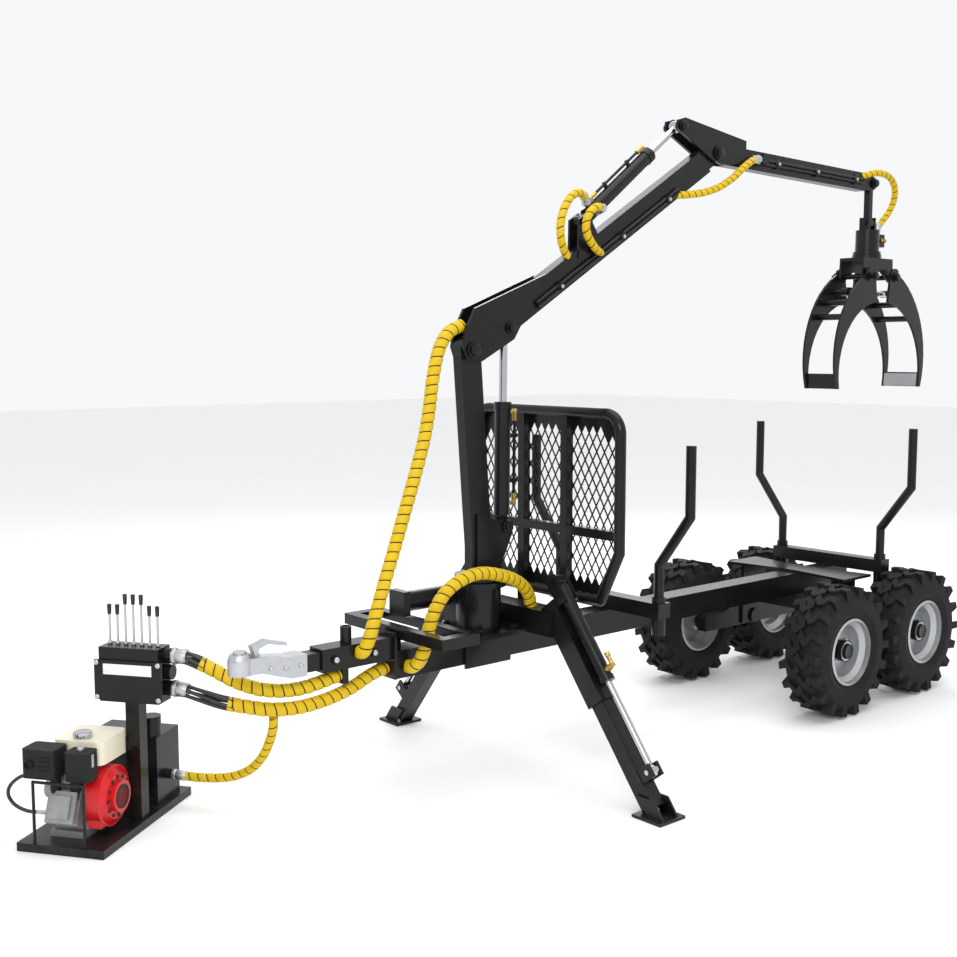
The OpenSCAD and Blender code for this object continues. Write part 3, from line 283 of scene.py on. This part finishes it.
def swell(phase):
    """The share of the full radius at a place of the wrap's turn: all of it on the band, less in the gap."""
    edge = min(phase, wrap_share - phase) if phase < wrap_share else 0.0
    return gap_radius + (1 - gap_radius) * min(1.0, edge / band_slope)


def hose_tube(name, line, diameter, pitch):
    """A tube along the line, with standing turns if it has a pitch.

    Its UV map says how far along and how far around each point lies.
    """
    run, reach = 0.0, [0.0]
    for a, b in zip(line, line[1:]):
        run += (b - a).length
        reach.append(run)
    heading = headings(line)
    side = heading[0].orthogonal().normalized()
    points, phases = [], []
    for i, centre in enumerate(line):
        side = (side - heading[i] * side.dot(heading[i])).normalized()
        other = heading[i].cross(side)
        for k in range(hose_sides):
            around = k / hose_sides
            radius = diameter / 2 * (swell((reach[i] / pitch - around) % 1.0) if pitch else 1)
            angle = math.tau * around
            points.append(centre + radius * (math.cos(angle) * side + math.sin(angle) * other))
            phases.append((reach[i] / pitch if pitch else reach[i], around))
    n = hose_sides
    faces = [(i * n + k, i * n + (k + 1) % n, (i + 1) * n + (k + 1) % n, (i + 1) * n + k)
             for i in range(len(line) - 1) for k in range(n)]
    faces += [tuple(reversed(range(n))), tuple((len(line) - 1) * n + k for k in range(n))]
    mesh = bpy.data.meshes.new(name)
    mesh.from_pydata([tuple(p) for p in points], [], faces)
    layer = mesh.uv_layers.new(name="wrap")
    for face in mesh.polygons:
        columns = [mesh.loops[j].vertex_index % n for j in face.loop_indices]
        for j, column in zip(face.loop_indices, columns):
            along, around = phases[mesh.loops[j].vertex_index]
            layer.data[j].uv = (along, 1.0 if column == 0 and max(columns) == n - 1 else around)
        face.use_smooth = True
    tube = bpy.data.objects.new(name, mesh)
    bpy.context.scene.collection.objects.link(tube)
    return tube, run


def bunch(name, line, diameter, count):
    """Bare hoses side by side along a line, lying within the bundle's diameter and twisting a little."""
    bits = []
    radius = diameter / 2 - line_d / 2
    heading = headings(line)
    for k in range(count):
        side, strand = heading[0].orthogonal().normalized(), []
        for i, centre in enumerate(line):
            side = (side - heading[i] * side.dot(heading[i])).normalized()
            other = heading[i].cross(side)
            angle = math.tau * k / count + strand_twist * i / len(line)
            strand.append(centre + radius * (math.cos(angle) * side + math.sin(angle) * other))
        bits.append(hose_tube(name, strand, line_d, 0)[0])
    return bits


def weld(name, *made):
    """Joins loose bits into one named piece."""
    deselect()
    for bit in made:
        bit.select_set(True)
    bpy.context.view_layer.objects.active = made[0]
    if len(made) > 1:
        bpy.ops.object.join()
    made[0].name = made[0].data.name = name
    return made[0]


def wrapped_hose():
    material, shade, shader = finish("spiral_wrap", IOR=1.3)
    wrap = shade.node("SeparateXYZ", {}, {0: shade.node("UVMap", {"uv_map": "wrap"})})
    around = Shade(shade.tree, wrap.socket.node.outputs[1])
    turns = shade.math("FRACT", wrap - around)
    band = turns < wrap_share
    grime = speckle(shade, 35, 5, 0.65)
    bright = shade.mix(grime, (0.50, 0.33, 0.005), (0.72, 0.49, 0.011))
    feed(shade, shader, Base_Color=shade.mix(band, (0.012, 0.011, 0.010), bright),
         Roughness=0.62 - 0.24 * band + 0.12 * grime, Normal=bump(shade, speckle(shade, 500), 0.12, 0.0006))
    return material


def bare_hose():
    material, shade, shader = finish("hose_rubber", IOR=1.5)
    grime = speckle(shade, 60, 5, 0.6)
    feed(shade, shader, Base_Color=shade.mix(grime, (0.010, 0.010, 0.011), (0.026, 0.025, 0.025)),
         Roughness=0.38 + 0.25 * grime, Normal=bump(shade, speckle(shade, 900), 0.15, 0.0005))
    return material


yellow_wrap, black_hose = wrapped_hose(), bare_hose()
hose_lines = {}
for name, (diameter, route) in routes.items():
    bare = name == "engine_hose"
    points = [Vector(p) / 1000 for p in route]
    points = [on_pack(p) for p in points] if bare else points
    line = through(points, line_step if bare else wrap_step)
    skip = round(bare_start.get(name, 0) / wrap_step)
    hose, length = hose_tube(("rubber_" if bare else "wrapped_") + name, line[skip:], diameter,
                             0 if bare else wrap_pitch)
    hose.data.materials.append(black_hose if bare else yellow_wrap)
    if skip:
        strands = bunch(name, line[:skip + strand_tuck], diameter, bare_strands)
        for strand in strands:
            strand.data.materials.append(black_hose)
        weld(hose.name, hose, *strands)
        length = sum((b - a).length for a, b in zip(line, line[1:]))
    hose_lines[name] = line
    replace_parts(hose, name)
    if name in crossings:
        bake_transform(hose)
    else:
        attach(hose, "boom" if name in ("boom_hose", "ram_hose") else "chassis")

# The frame: square beam, drawbar, bunks, headboard, crane arms and legs, all welded from steel
# profiles and sprayed gloss black, with a little road dust low down.


def black_paint():
    material, shade, shader = finish("black_paint", IOR=1.3, Coat_IOR=1.3, Coat_Roughness=0.1)
    drift, grain = speckle(shade, 3.5, 4, 0.6), speckle(shade, 260, 2)
    low = (1.0 - above_ground(shade) / 0.5).clamp()
    dust = ((speckle(shade, 11, 6, 0.7) - 0.42) * 3.0).clamp() * (0.06 + 0.3 * low)
    feed(shade, shader,
         Base_Color=shade.mix(dust, shade.mix(drift, (0.0030, 0.0031, 0.0036), (0.0065, 0.0066, 0.0074)),
                              (0.075, 0.066, 0.055)),
         Roughness=(0.20 + 0.16 * drift + 0.5 * dust).clamp(), Coat_Weight=(0.28 - dust).clamp(),
         Normal=bump(shade, grain, 0.05, 0.0004))
    return material


def dress(material, *names):
    for name in names:
        solid = nodes[name].data
        solid.materials.clear()
        solid.materials.append(material)


black = black_paint()
dress(black, "main_beam", "drawbar_sleeve", "drawbar_tube", "platform_frame", "headboard_frame",
      "headboard_mesh", "bunks", "stakes", "axle_beam", "bogie_beams", "crane_base", "leg_frame",
      "leg_barrels", "left_leg", "right_leg", "column", "lift_barrel", "boom", "stick_barrel", "stick",
      "tip_link", "rotator", "grapple_head", "front_jaw", "rear_jaw", "grapple_barrel", "pack_tray",
      "oil_tank", "valve_block")

# The coupler: a pressed steel housing with a hand lever on top, which clamps it on the towing ball.
# Both are zinc plated, dull and lightly mottled.


def zinc_plate():
    material, shade, shader = finish("zinc_plate", Metallic=1.0)
    cloud = speckle(shade, 30, 5, 0.6)
    spangle = shade.node("TexVoronoi", {}, {"Vector": place_of(shade), "Scale": 160})
    feed(shade, shader, Base_Color=shade.mix(cloud, (0.42, 0.43, 0.45), (0.62, 0.63, 0.65)),
         Roughness=0.26 + 0.22 * cloud + 0.1 * spangle, Normal=bump(shade, cloud, 0.15, 0.0008))
    return material


zinc = zinc_plate()
dress(zinc, "ball_coupler", "coupler_lever")

# The cylinder rods: ground steel bars with hard chrome, which slide in and out of the barrels. The
# seals wipe them so clean that they mirror the room.


def hard_chrome():
    material, shade, shader = finish("hard_chrome", Metallic=1.0)
    film = speckle(shade, 45, 4, 0.6)
    feed(shade, shader, Base_Color=shade.mix(film, (0.44, 0.44, 0.46), (0.56, 0.56, 0.58)),
         Roughness=0.07 + 0.1 * film)
    return material


chrome = hard_chrome()
dress(chrome, "left_leg_rod", "right_leg_rod", "lift_rod", "stick_rod", "grapple_rod")

# The wheels: lugged flotation tyres on deep silver rims, which turn on spindles of the bogie beams.
# The rubber is dull and a little dusty.


def tyre_rubber():
    material, shade, shader = finish("tyre_rubber", IOR=1.3)
    dust, pores = speckle(shade, 14, 6, 0.7), speckle(shade, 420, 3)
    dusty = (dust * 1.6 - 0.45).clamp()
    feed(shade, shader, Base_Color=shade.mix(dusty, (0.005, 0.005, 0.005), (0.022, 0.020, 0.018)),
         Roughness=0.62 + 0.25 * dust, Normal=bump(shade, pores, 0.35, 0.0012))
    return material


def silver_paint():
    material, shade, shader = finish("silver_paint", Metallic=0.75, Coat_Roughness=0.2)
    flake, film = speckle(shade, 700, 1), speckle(shade, 9, 5, 0.65)
    feed(shade, shader, Base_Color=shade.mix(film, (0.38, 0.39, 0.40), (0.54, 0.55, 0.56)),
         Roughness=0.32 + 0.16 * film, Normal=bump(shade, flake, 0.06, 0.0003))
    return material


rubber, silver = tyre_rubber(), silver_paint()
for end in ("front", "rear"):
    for side in ("left", "right"):
        dress(rubber, f"{end}_{side}_tyre")
        dress(silver, f"{end}_{side}_rim")

# The power pack: a small petrol engine with a red cowl, a cream tank, a finned grey head and black
# muffler and air cleaner, on a folded tray with the oil tank and the valve post.


def cast_metal():
    material, shade, shader = finish("cast_aluminium", Metallic=0.85)
    cloud, sand = speckle(shade, 25, 5, 0.6), speckle(shade, 520, 3)
    feed(shade, shader, Base_Color=shade.mix(cloud, (0.22, 0.225, 0.23), (0.42, 0.425, 0.43)),
         Roughness=0.42 + 0.2 * cloud, Normal=bump(shade, sand, 0.4, 0.0012))
    return material


def gloss(name, deep, pale, grain):
    material, shade, shader = finish(name, IOR=1.35, Coat_IOR=1.35, Coat_Roughness=0.1)
    film = speckle(shade, 8, 4, 0.6)
    feed(shade, shader, Base_Color=shade.mix(film, deep, pale), Roughness=0.24 + 0.14 * film,
         Coat_Weight=0.5 - 0.2 * film, Normal=bump(shade, speckle(shade, grain), 0.05, 0.0004))
    return material


def heat_black():
    material, shade, shader = finish("heat_black", IOR=1.35)
    cloud = speckle(shade, 40, 5, 0.6)
    feed(shade, shader, Base_Color=shade.mix(cloud, (0.006, 0.006, 0.006), (0.016, 0.015, 0.015)),
         Roughness=0.55 + 0.25 * cloud, Normal=bump(shade, speckle(shade, 600), 0.3, 0.0008))
    return material


cast, matt = cast_metal(), heat_black()
red = gloss("cowl_red", (0.50, 0.008, 0.012), (0.64, 0.012, 0.016), 300)
cream = gloss("tank_cream", (0.72, 0.66, 0.50), (0.82, 0.77, 0.62), 240)
dress(cast, "engine_block")
dress(red, "engine_fan_cover")
dress(cream, "fuel_tank")
dress(matt, "air_cleaner", "muffler")

# The hose ends: a crimped steel ferrule holds each hose on its stem, and a hexagon nut screws it on to
# its port. Both are a little wider than the hose.
ferrule_l, nut_l, nut_gap = 0.034, 0.016, 0.002
nut_share, ferrule_share = 0.62, 0.53
fine_edge = 0.0012


def bar(name, foot, top, radius, sides=24):
    """A round or hexagonal bar between two points, its place in its mesh."""
    deselect()
    foot, top = Vector(foot), Vector(top)
    way = top - foot
    bpy.ops.mesh.primitive_cylinder_add(vertices=sides, radius=radius, depth=way.length,
                                        location=(foot + top) / 2,
                                        rotation=way.to_track_quat("Z", "Y").to_euler())
    made = bpy.context.object
    made.name = made.data.name = name
    bpy.ops.object.transform_apply(location=True, rotation=True, scale=True)
    return made


def box(name, low, high):
    """A box between two corners, its place in its mesh."""
    deselect()
    low, high = Vector(low), Vector(high)
    bpy.ops.mesh.primitive_cube_add(size=1, location=(low + high) / 2)
    made = bpy.context.object
    made.name = made.data.name = name
    made.scale = high - low
    bpy.ops.object.transform_apply(location=True, rotation=True, scale=True)
    return made


def pick(made, test):
    """Opens a piece for editing with only those faces selected."""
    deselect()
    made.select_set(True)
    bpy.context.view_layer.objects.active = made
    bpy.context.tool_settings.mesh_select_mode = (False, False, True)
    for part in (made.data.vertices, made.data.edges):
        part.foreach_set("select", [False] * len(part))
    for face in made.data.polygons:
        face.select = test(face)
    bpy.ops.object.mode_set(mode="EDIT")


def close_edit():
    bpy.ops.mesh.normals_make_consistent(inside=False)
    bpy.ops.object.mode_set(mode="OBJECT")


def facing(way):
    way = Vector(way).normalized()
    return lambda face: face.normal.dot(way) > 0.95


def step(made, way, inset, rise):
    """Insets the face that looks that way and moves the inner face along."""
    pick(made, facing(way))
    bpy.ops.mesh.inset(thickness=inset, use_boundary=True)
    bpy.ops.mesh.extrude_region_move(TRANSFORM_OT_translate={"value": Vector(way).normalized() * rise})
    close_edit()


def soften(made, width, segments=2):
    deselect()
    made.select_set(True)
    bpy.context.view_layer.objects.active = made
    modifier = made.modifiers.new("edges", "BEVEL")
    modifier.width, modifier.segments, modifier.limit_method = width, segments, "ANGLE"
    modifier.angle_limit = math.radians(40)
    bpy.ops.object.modifier_apply(modifier=modifier.name)
    bpy.ops.object.shade_smooth_by_angle(angle=math.radians(38))


def wear(made, material, body):
    made.data.materials.clear()
    made.data.materials.append(material)
    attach(made, body)
    return made


def hose_end(name, tip, inward, diameter):
    """Ferrule and nut at a hose's end, inward being the way back along the hose."""
    inward = inward.normalized()
    nut = bar(name, tip + inward * nut_gap, tip + inward * nut_l, diameter * nut_share, 6)
    soften(nut, fine_edge)
    ferrule = bar(name, tip + inward * nut_l, tip + inward * (nut_l + ferrule_l), diameter * ferrule_share)
    step(ferrule, inward, diameter * 0.05, 0.004)
    soften(ferrule, fine_edge)
    return weld(name, nut, ferrule)


hose_ends = (
    ("boom_hose", 0, "stick_barrel"), ("ram_hose", 0, "stick_barrel"), ("stick_hose", -1, "stick"),
    ("tip_hose", -1, "tip_link"), ("engine_hose", 0, "chassis"), ("engine_hose", -1, "chassis"),
    ("tank_hose", 0, "chassis"), ("valve_hose_upper", 0, "chassis"), ("valve_hose_lower", 0, "chassis"),
)
for name, at, body in hose_ends:
    line = hose_lines[name]
    back = line[8] - line[0] if at == 0 else line[-9] - line[-1]
    made = hose_end(f"{name}_nut_{'start' if at == 0 else 'end'}", line[at], back, routes[name][0])
    wear(made, zinc, body)

# The ports: turned brass elbows on a boss near the lower end of each leg cylinder's barrel, and two
# brass plugs on the side of the rotator's block.


def yellow_brass():
    material, shade, shader = finish("yellow_brass", Metallic=1.0)
    tarnish = speckle(shade, 90, 4, 0.6)
    feed(shade, shader, Base_Color=shade.mix(tarnish, (0.42, 0.27, 0.07), (0.66, 0.45, 0.14)),
         Roughness=0.28 + 0.2 * tarnish)
    return material


brass = yellow_brass()
leg_top, leg_lean = (-1.195, 0.255, 0.040), math.atan2(0.485, 0.621)
barrel_off, barrel_r, port_sink, port_at = 0.071, 0.025, 0.003, 0.262
boss_top, nut_top, elbow_h, arm_top, cap_top = 0.016, 0.027, 0.034, 0.034, 0.050
for side, way in (("left", 1), ("right", -1)):
    down = Vector((0, way * math.sin(leg_lean), -math.cos(leg_lean)))
    out = Vector((0, way * math.cos(leg_lean), math.sin(leg_lean)))
    top = Vector((leg_top[0], way * leg_top[1], leg_top[2]))
    port = top + down * port_at + out * (barrel_off + barrel_r - port_sink)
    bend = port + out * elbow_h
    boss = bar("boss", port, port + out * boss_top, 0.013)
    nut = bar("nut", port + out * boss_top, port + out * nut_top, 0.0115, 6)
    shank = bar("shank", port + out * nut_top, bend + out * 0.008, 0.008)
    arm = bar("arm", bend + down * 0.006, bend - down * arm_top, 0.008)
    cap = bar("cap", bend - down * arm_top, bend - down * cap_top, 0.011, 6)
    for bit in (boss, nut, shank, arm, cap):
        soften(bit, fine_edge)
    wear(weld(side + "_leg_port", boss, nut, shank, arm, cap), brass, "chassis")
plug_in, plug_out, plug_z = 0.032, 0.048, 1.563
plugs = [bar("plug", (x, plug_in, plug_z), (x, plug_out, plug_z), 0.010, 6) for x in (-3.626, -3.600)]
for plug in plugs:
    step(plug, (0, 1, 0), 0.003, 0.004)
    soften(plug, 0.001)
wear(weld("rotator_plugs", *plugs), brass, "rotator")

# The control valve: a bank of spools in a black box on a post, with a steel lever and rubber grip
# for each, a blank white plate and four dome bolts on the front cover.
pack_place = Matrix.Translation(pack_corner) @ Matrix.Rotation(pack_turn, 4, "Z")
post_x, post_y = 0.293, 0.038
valve_front, valve_high, valve_half = 0.243, 0.620, 0.108
lever_reach = (0.136, 0.136, 0.172, 0.172, 0.172, 0.136, 0.136)
lever_edge, grip_l, grip_flare = 0.020, 0.034, 1.22
plate_half, plate_low, plate_high = 0.088, 0.530, 0.566
cover_bolt_y, cover_bolt_z = 0.112, (0.452, 0.569)


def plain_plastic(name, deep, pale, rough):
    material, shade, shader = finish(name, IOR=1.46)
    film = speckle(shade, 30, 5, 0.6)
    feed(shade, shader, Base_Color=shade.mix(film, deep, pale), Roughness=rough + 0.15 * film,
         Normal=bump(shade, speckle(shade, 800), 0.1, 0.0004))
    return material


white = plain_plastic("plate_white", (0.70, 0.70, 0.69), (0.80, 0.80, 0.79), 0.35)
grip_black = plain_plastic("grip_black", (0.010, 0.010, 0.010), (0.022, 0.021, 0.021), 0.5)
stems, grips = [], []
lever_step = 2 * (valve_half - lever_edge) / (len(lever_reach) - 1)
for i, reach in enumerate(lever_reach):
    foot = Vector((post_x, post_y + valve_half - lever_edge - i * lever_step, valve_high))
    stem = bar("lever_stem", foot, foot + Vector((0, 0, reach - 0.03)), 0.0038, 16)
    collar = bar("lever_collar", foot, foot + Vector((0, 0, 0.012)), 0.0085, 16)
    soften(collar, 0.002)
    grip_foot, grip_top = foot + Vector((0, 0, reach - grip_l)), foot + Vector((0, 0, reach + 0.001))
    grip = bar("lever_grip", grip_foot, grip_top, 0.0062, 16)
    pick(grip, facing((0, 0, 1)))
    bpy.ops.transform.resize(value=(grip_flare, grip_flare, 1.0),
                             center_override=foot + Vector((0, 0, reach)))
    close_edit()
    soften(grip, 0.003, 3)
    stems += [stem, collar]
    grips.append(grip)
levers = weld("lever_stems", *stems)
levers.data.transform(pack_place)
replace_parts(wear(levers, zinc, "chassis"), "valve_levers")
grips = weld("lever_grips", *grips)
grips.data.transform(pack_place)
wear(grips, grip_black, "chassis")

plate = box("blank_plate", (valve_front - 0.002, post_y - plate_half, plate_low),
            (valve_front + 0.001, post_y + plate_half, plate_high))
plate.data.transform(pack_place)
soften(plate, 0.0008)
wear(plate, white, "chassis")
domes = []
for y in (post_y - cover_bolt_y, post_y + cover_bolt_y):
    for z in cover_bolt_z:
        dome = bar("cover_bolt", (valve_front + 0.001, y, z), (valve_front - 0.006, y, z), 0.009, 20)
        soften(dome, 0.0045, 4)
        domes.append(dome)
domes = weld("cover_bolts", *domes)
domes.data.transform(pack_place)
wear(domes, zinc, "chassis")

# The engine's dress: a starter dial with a ring of vents on the red cowl, a knurled cap on the tank,
# a mouth and louvres on the muffler, and a clip and a knob on the air cleaner.
cowl_x, cowl_z, cowl_face = 0.165, 0.148, 0.023
vents, vent_y, vent_ring = 12, 0.0385, (0.058, 0.070)
cap_x, cap_y, cap_low, cap_high = 0.150, 0.152, 0.338, 0.3595
mouth_y, mouth_z = 0.262, 0.285
louvre_low, louvre_pitch, louvre_h = 0.262, 0.014, 0.006
knob_x, knob_y, knob_low, knob_high = 0.065, 0.109, 0.325, 0.338
dial = bar("starter_dial", (cowl_x, cowl_face + 0.002, cowl_z), (cowl_x, cowl_face - 0.003, cowl_z),
           0.040, 40)
step(dial, (0, -1, 0), 0.006, -0.003)
soften(dial, 0.001)
slots = [dial]
for k in range(vents):
    angle = math.tau * k / vents
    near, far = (Vector((cowl_x + r * math.cos(angle), vent_y, cowl_z + r * math.sin(angle)))
                 for r in vent_ring)
    slot_bar = bar("cowl_slot", near, far, 0.005, 12)
    soften(slot_bar, 0.001)
    slots.append(slot_bar)
dial = weld("starter_dial", *slots)
dial.data.transform(pack_place)
wear(dial, grip_black, "chassis")

cap = bar("tank_cap", (cap_x, cap_y, cap_low), (cap_x, cap_y, cap_high), 0.0295, 36)
pick(cap, lambda face: abs(face.normal.z) < 0.1 and face.index % 2 == 0)
bpy.ops.mesh.inset(thickness=0.0006, use_individual=True)
bpy.ops.transform.shrink_fatten(value=0.0012)
close_edit()
soften(cap, 0.003, 3)
cap.data.transform(pack_place)
wear(cap, chrome, "chassis")

mouth = bar("exhaust_mouth", (0.016, mouth_y, mouth_z), (0.002, mouth_y, mouth_z), 0.015, 28)
step(mouth, (-1, 0, 0), 0.003, -0.010)
soften(mouth, 0.001)
louvres = [mouth]
for k in range(4):
    low = louvre_low + louvre_pitch * k
    rib = box("louvre", (0.010, 0.190, low), (0.016, 0.232, low + louvre_h))
    soften(rib, 0.002)
    louvres.append(rib)
mouth = weld("exhaust_mouth", *louvres)
mouth.data.transform(pack_place)
wear(mouth, matt, "chassis")

clip = box("cleaner_clip", (0.055, 0.0635, 0.276), (0.067, 0.0665, 0.318))
soften(clip, 0.001)
knob = bar("cleaner_knob", (knob_x, knob_y, knob_low), (knob_x, knob_y, knob_high), 0.012, 10)
soften(knob, 0.002)
clip = weld("cleaner_clip", clip, knob)
clip.data.transform(pack_place)
wear(clip, zinc, "chassis")

# The wheel hubs: black caps over the bearings, deep inside the rims, each with a stepped face and a
# shallow dish in the middle.
hub_r, hub_face, hub_depth, axle_z = 0.0475, 0.478, 0.036, -0.291
for end, x in (("front", -2.725), ("rear", -3.333)):
    for side, way in (("left", 1), ("right", -1)):
        out = Vector((0, way, 0))
        hub = bar(f"{end}_{side}_hub_cap", (x, way * (hub_face - hub_depth), axle_z),
                  (x, way * (hub_face + 0.002), axle_z), hub_r, 36)
        step(hub, out, 0.016, 0.012)
        step(hub, out, 0.004, -0.003)
        soften(hub, 0.003, 3)
        wear(hub, black, f"{end}_{side}_wheel")

# The hinge pins: turned pins through the arms and the cylinders' eyes, each held by a washer and a
# hexagon nut on both sides.
hinges = {
    "boom_pin": (-0.955, 1.022), "stick_pin": (-2.325, 1.859), "tip_pin": (-3.540, 1.837),
    "lift_pin": (-1.125, 0.361), "lift_eye_pin": (-1.135, 1.104),
    "ram_pin": (-1.535, 1.519), "ram_eye_pin": (-2.091, 1.945),
    "front_jaw_pin": (-3.445, 1.382), "rear_jaw_pin": (-3.635, 1.382),
}
pins = (
    ("boom_pin", "boom", 0.048, 0.021), ("stick_pin", "stick", 0.048, 0.021),
    ("lift_pin", "column", 0.043, 0.016), ("lift_eye_pin", "boom", 0.047, 0.016),
    ("ram_pin", "boom", 0.043, 0.016), ("ram_eye_pin", "stick", 0.047, 0.016),
    ("tip_pin", "stick", 0.040, 0.016), ("front_jaw_pin", "grapple_head", 0.115, 0.016),
    ("rear_jaw_pin", "grapple_head", 0.115, 0.016),
)
pin_washer, pin_nut = 1.45, 1.15
for name, body, y, radius in pins:
    (x, z), bits = hinges[name], []
    for way in (1, -1):
        washer = bar("washer", (x, way * (y - 0.007), z), (x, way * (y - 0.003), z), radius * pin_washer, 32)
        nut = bar("nut", (x, way * (y - 0.003), z), (x, way * (y + 0.009), z), radius * pin_nut, 6)
        soften(washer, 0.0008)
        soften(nut, 0.0015)
        bits += [washer, nut]
    wear(weld(name + "_nuts", *bits), black, body)

# The ram pipes: a thin black line clipped along the lift and the stick cylinder to its rod end, with
# a brass union at both ends.
rams = (
    ("lift_ram", "lift_barrel", "lift_pin", "lift_eye_pin", -0.060, (0.085, 0.430), (0.17, 0.34)),
    ("stick_ram", "stick_barrel", "ram_pin", "ram_eye_pin", 0.044, (0.100, 0.465), (0.20, 0.36)),
)
pipe_r, union_l, union_back = 0.006, 0.034, 0.010
clip_in, clip_share, clip_r, stub_in = 0.028, 1.2, 0.009, 0.026


def hinge(name):
    x, z = hinges[name]
    return Vector((x, 0, z))


for name, body, base, eye, off, ends, clips in rams:
    base = hinge(base)
    along = (hinge(eye) - base).normalized()
    out = Vector((along.z, 0, -along.x)) * off
    first, last = (base + along * reach + out for reach in ends)
    bits = [bar("pipe", first, last, pipe_r, 16)]
    for reach in clips:
        spot = base + along * reach
        bits.append(bar("clip", spot + out * (clip_in / abs(off)), spot + out * clip_share, clip_r, 12))
        soften(bits[-1], 0.002)
    wear(weld(name + "_pipe", *bits), black, body)
    unions = []
    for tip, inward in ((first, along), (last, -along)):
        unions += [bar("union", tip - inward * union_back, tip + inward * union_l, pipe_r * 1.7, 6),
                   bar("stub", tip, tip - out * (1 - stub_in / abs(off)), pipe_r * 1.4, 16)]
    for union in unions:
        soften(union, fine_edge)
    wear(weld(name + "_unions", *unions), brass, body)

# The arm pipes: pairs of steel lines along the left side of boom and stick, black like the arms, held
# by clamp blocks with a bolt each. They carry oil from one hose to the next.
arm_pipes = (
    ("boom", "boom_pin", "stick_pin", (0.36, 1.30), (0.50, 0.90, 1.22), (-0.030, -0.014)),
    ("stick", "stick_pin", "tip_pin", (0.32, 1.12), (0.42, 0.72, 1.04), (-0.008, 0.008)),
)
arm_pipe_y, arm_pipe_r = 0.0345, 0.007
clamp_in, clamp_out, clamp_r = 0.026, 0.045, 0.022
bolt_in, bolt_out, bolt_r = 0.044, 0.051, 0.008
left = Vector((0, 1, 0))
for body, foot, tip, span, clamps, rises in arm_pipes:
    foot = hinge(foot)
    way = (hinge(tip) - foot).normalized()
    rise = Vector((way.z, 0, -way.x))
    bits, bolts = [], []
    for height in rises:
        near, far = (foot + way * reach + rise * height + left * arm_pipe_y for reach in span)
        bits.append(bar("pipe", near, far, arm_pipe_r, 16))
    for reach in clamps:
        spot = foot + way * reach + rise * (sum(rises) / 2)
        block = bar("clamp", spot + left * clamp_in, spot + left * clamp_out, clamp_r, 4)
        soften(block, 0.003)
        bits.append(block)
        bolt = bar("clamp_bolt", spot + left * bolt_in, spot + left * bolt_out, bolt_r, 6)
        soften(bolt, 0.001)
        bolts.append(bolt)
    wear(weld(body + "_pipes", *bits), black, body)
    wear(weld(body + "_clamp_bolts", *bolts), zinc, body)

# The drawbar's bolts: three dome heads through each side of the coupler and two through the sleeve,
# which hold the coupler and the sliding tube.
drawbar_bolts = (
    (-0.095, 0.036, -0.012, 0.008), (-0.150, 0.036, -0.019, 0.008), (-0.208, 0.036, -0.020, 0.008),
    (-0.340, 0.048, -0.020, 0.010), (-0.500, 0.048, -0.020, 0.010),
)
bits = []
for x, y, z, radius in drawbar_bolts:
    for way in (1, -1):
        dome = bar("drawbar_bolt", (x, way * (y - 0.004), z), (x, way * (y + 0.008), z), radius, 20)
        soften(dome, 0.004, 3)
        bits.append(dome)
wear(weld("drawbar_bolts", *bits), zinc, "chassis")

# The jaws' tips: cross plates between the two claws of each jaw, whose faces the logs have rubbed
# down to grey steel.


def rubbed_steel():
    material, shade, shader = finish("rubbed_steel", Metallic=0.6)
    streak = speckle(shade, 70, 5, 0.7)
    feed(shade, shader, Base_Color=shade.mix(streak, (0.24, 0.24, 0.25), (0.44, 0.44, 0.45)),
         Roughness=0.42 + 0.25 * streak, Normal=bump(shade, streak, 0.2, 0.0008))
    return material


rubbed = rubbed_steel()
tip_x, tip_low, tip_high, tip_half_t, tip_lean = 0.342, 0.841, 0.905, 0.002, math.radians(6)
for body, way, half in (("front_jaw", 1, 0.078), ("rear_jaw", -1, 0.092)):
    near = hinges["tip_pin"][0] + way * tip_x
    face = box("tip", (near - tip_half_t, -half, tip_low), (near + tip_half_t, half, tip_high))
    foot = Matrix.Translation((near, 0, tip_low))
    face.data.transform(foot @ Matrix.Rotation(way * tip_lean, 4, "Y") @ foot.inverted())
    soften(face, fine_edge)
    wear(weld(body + "_tip_face", face), rubbed, body)

low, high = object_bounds()
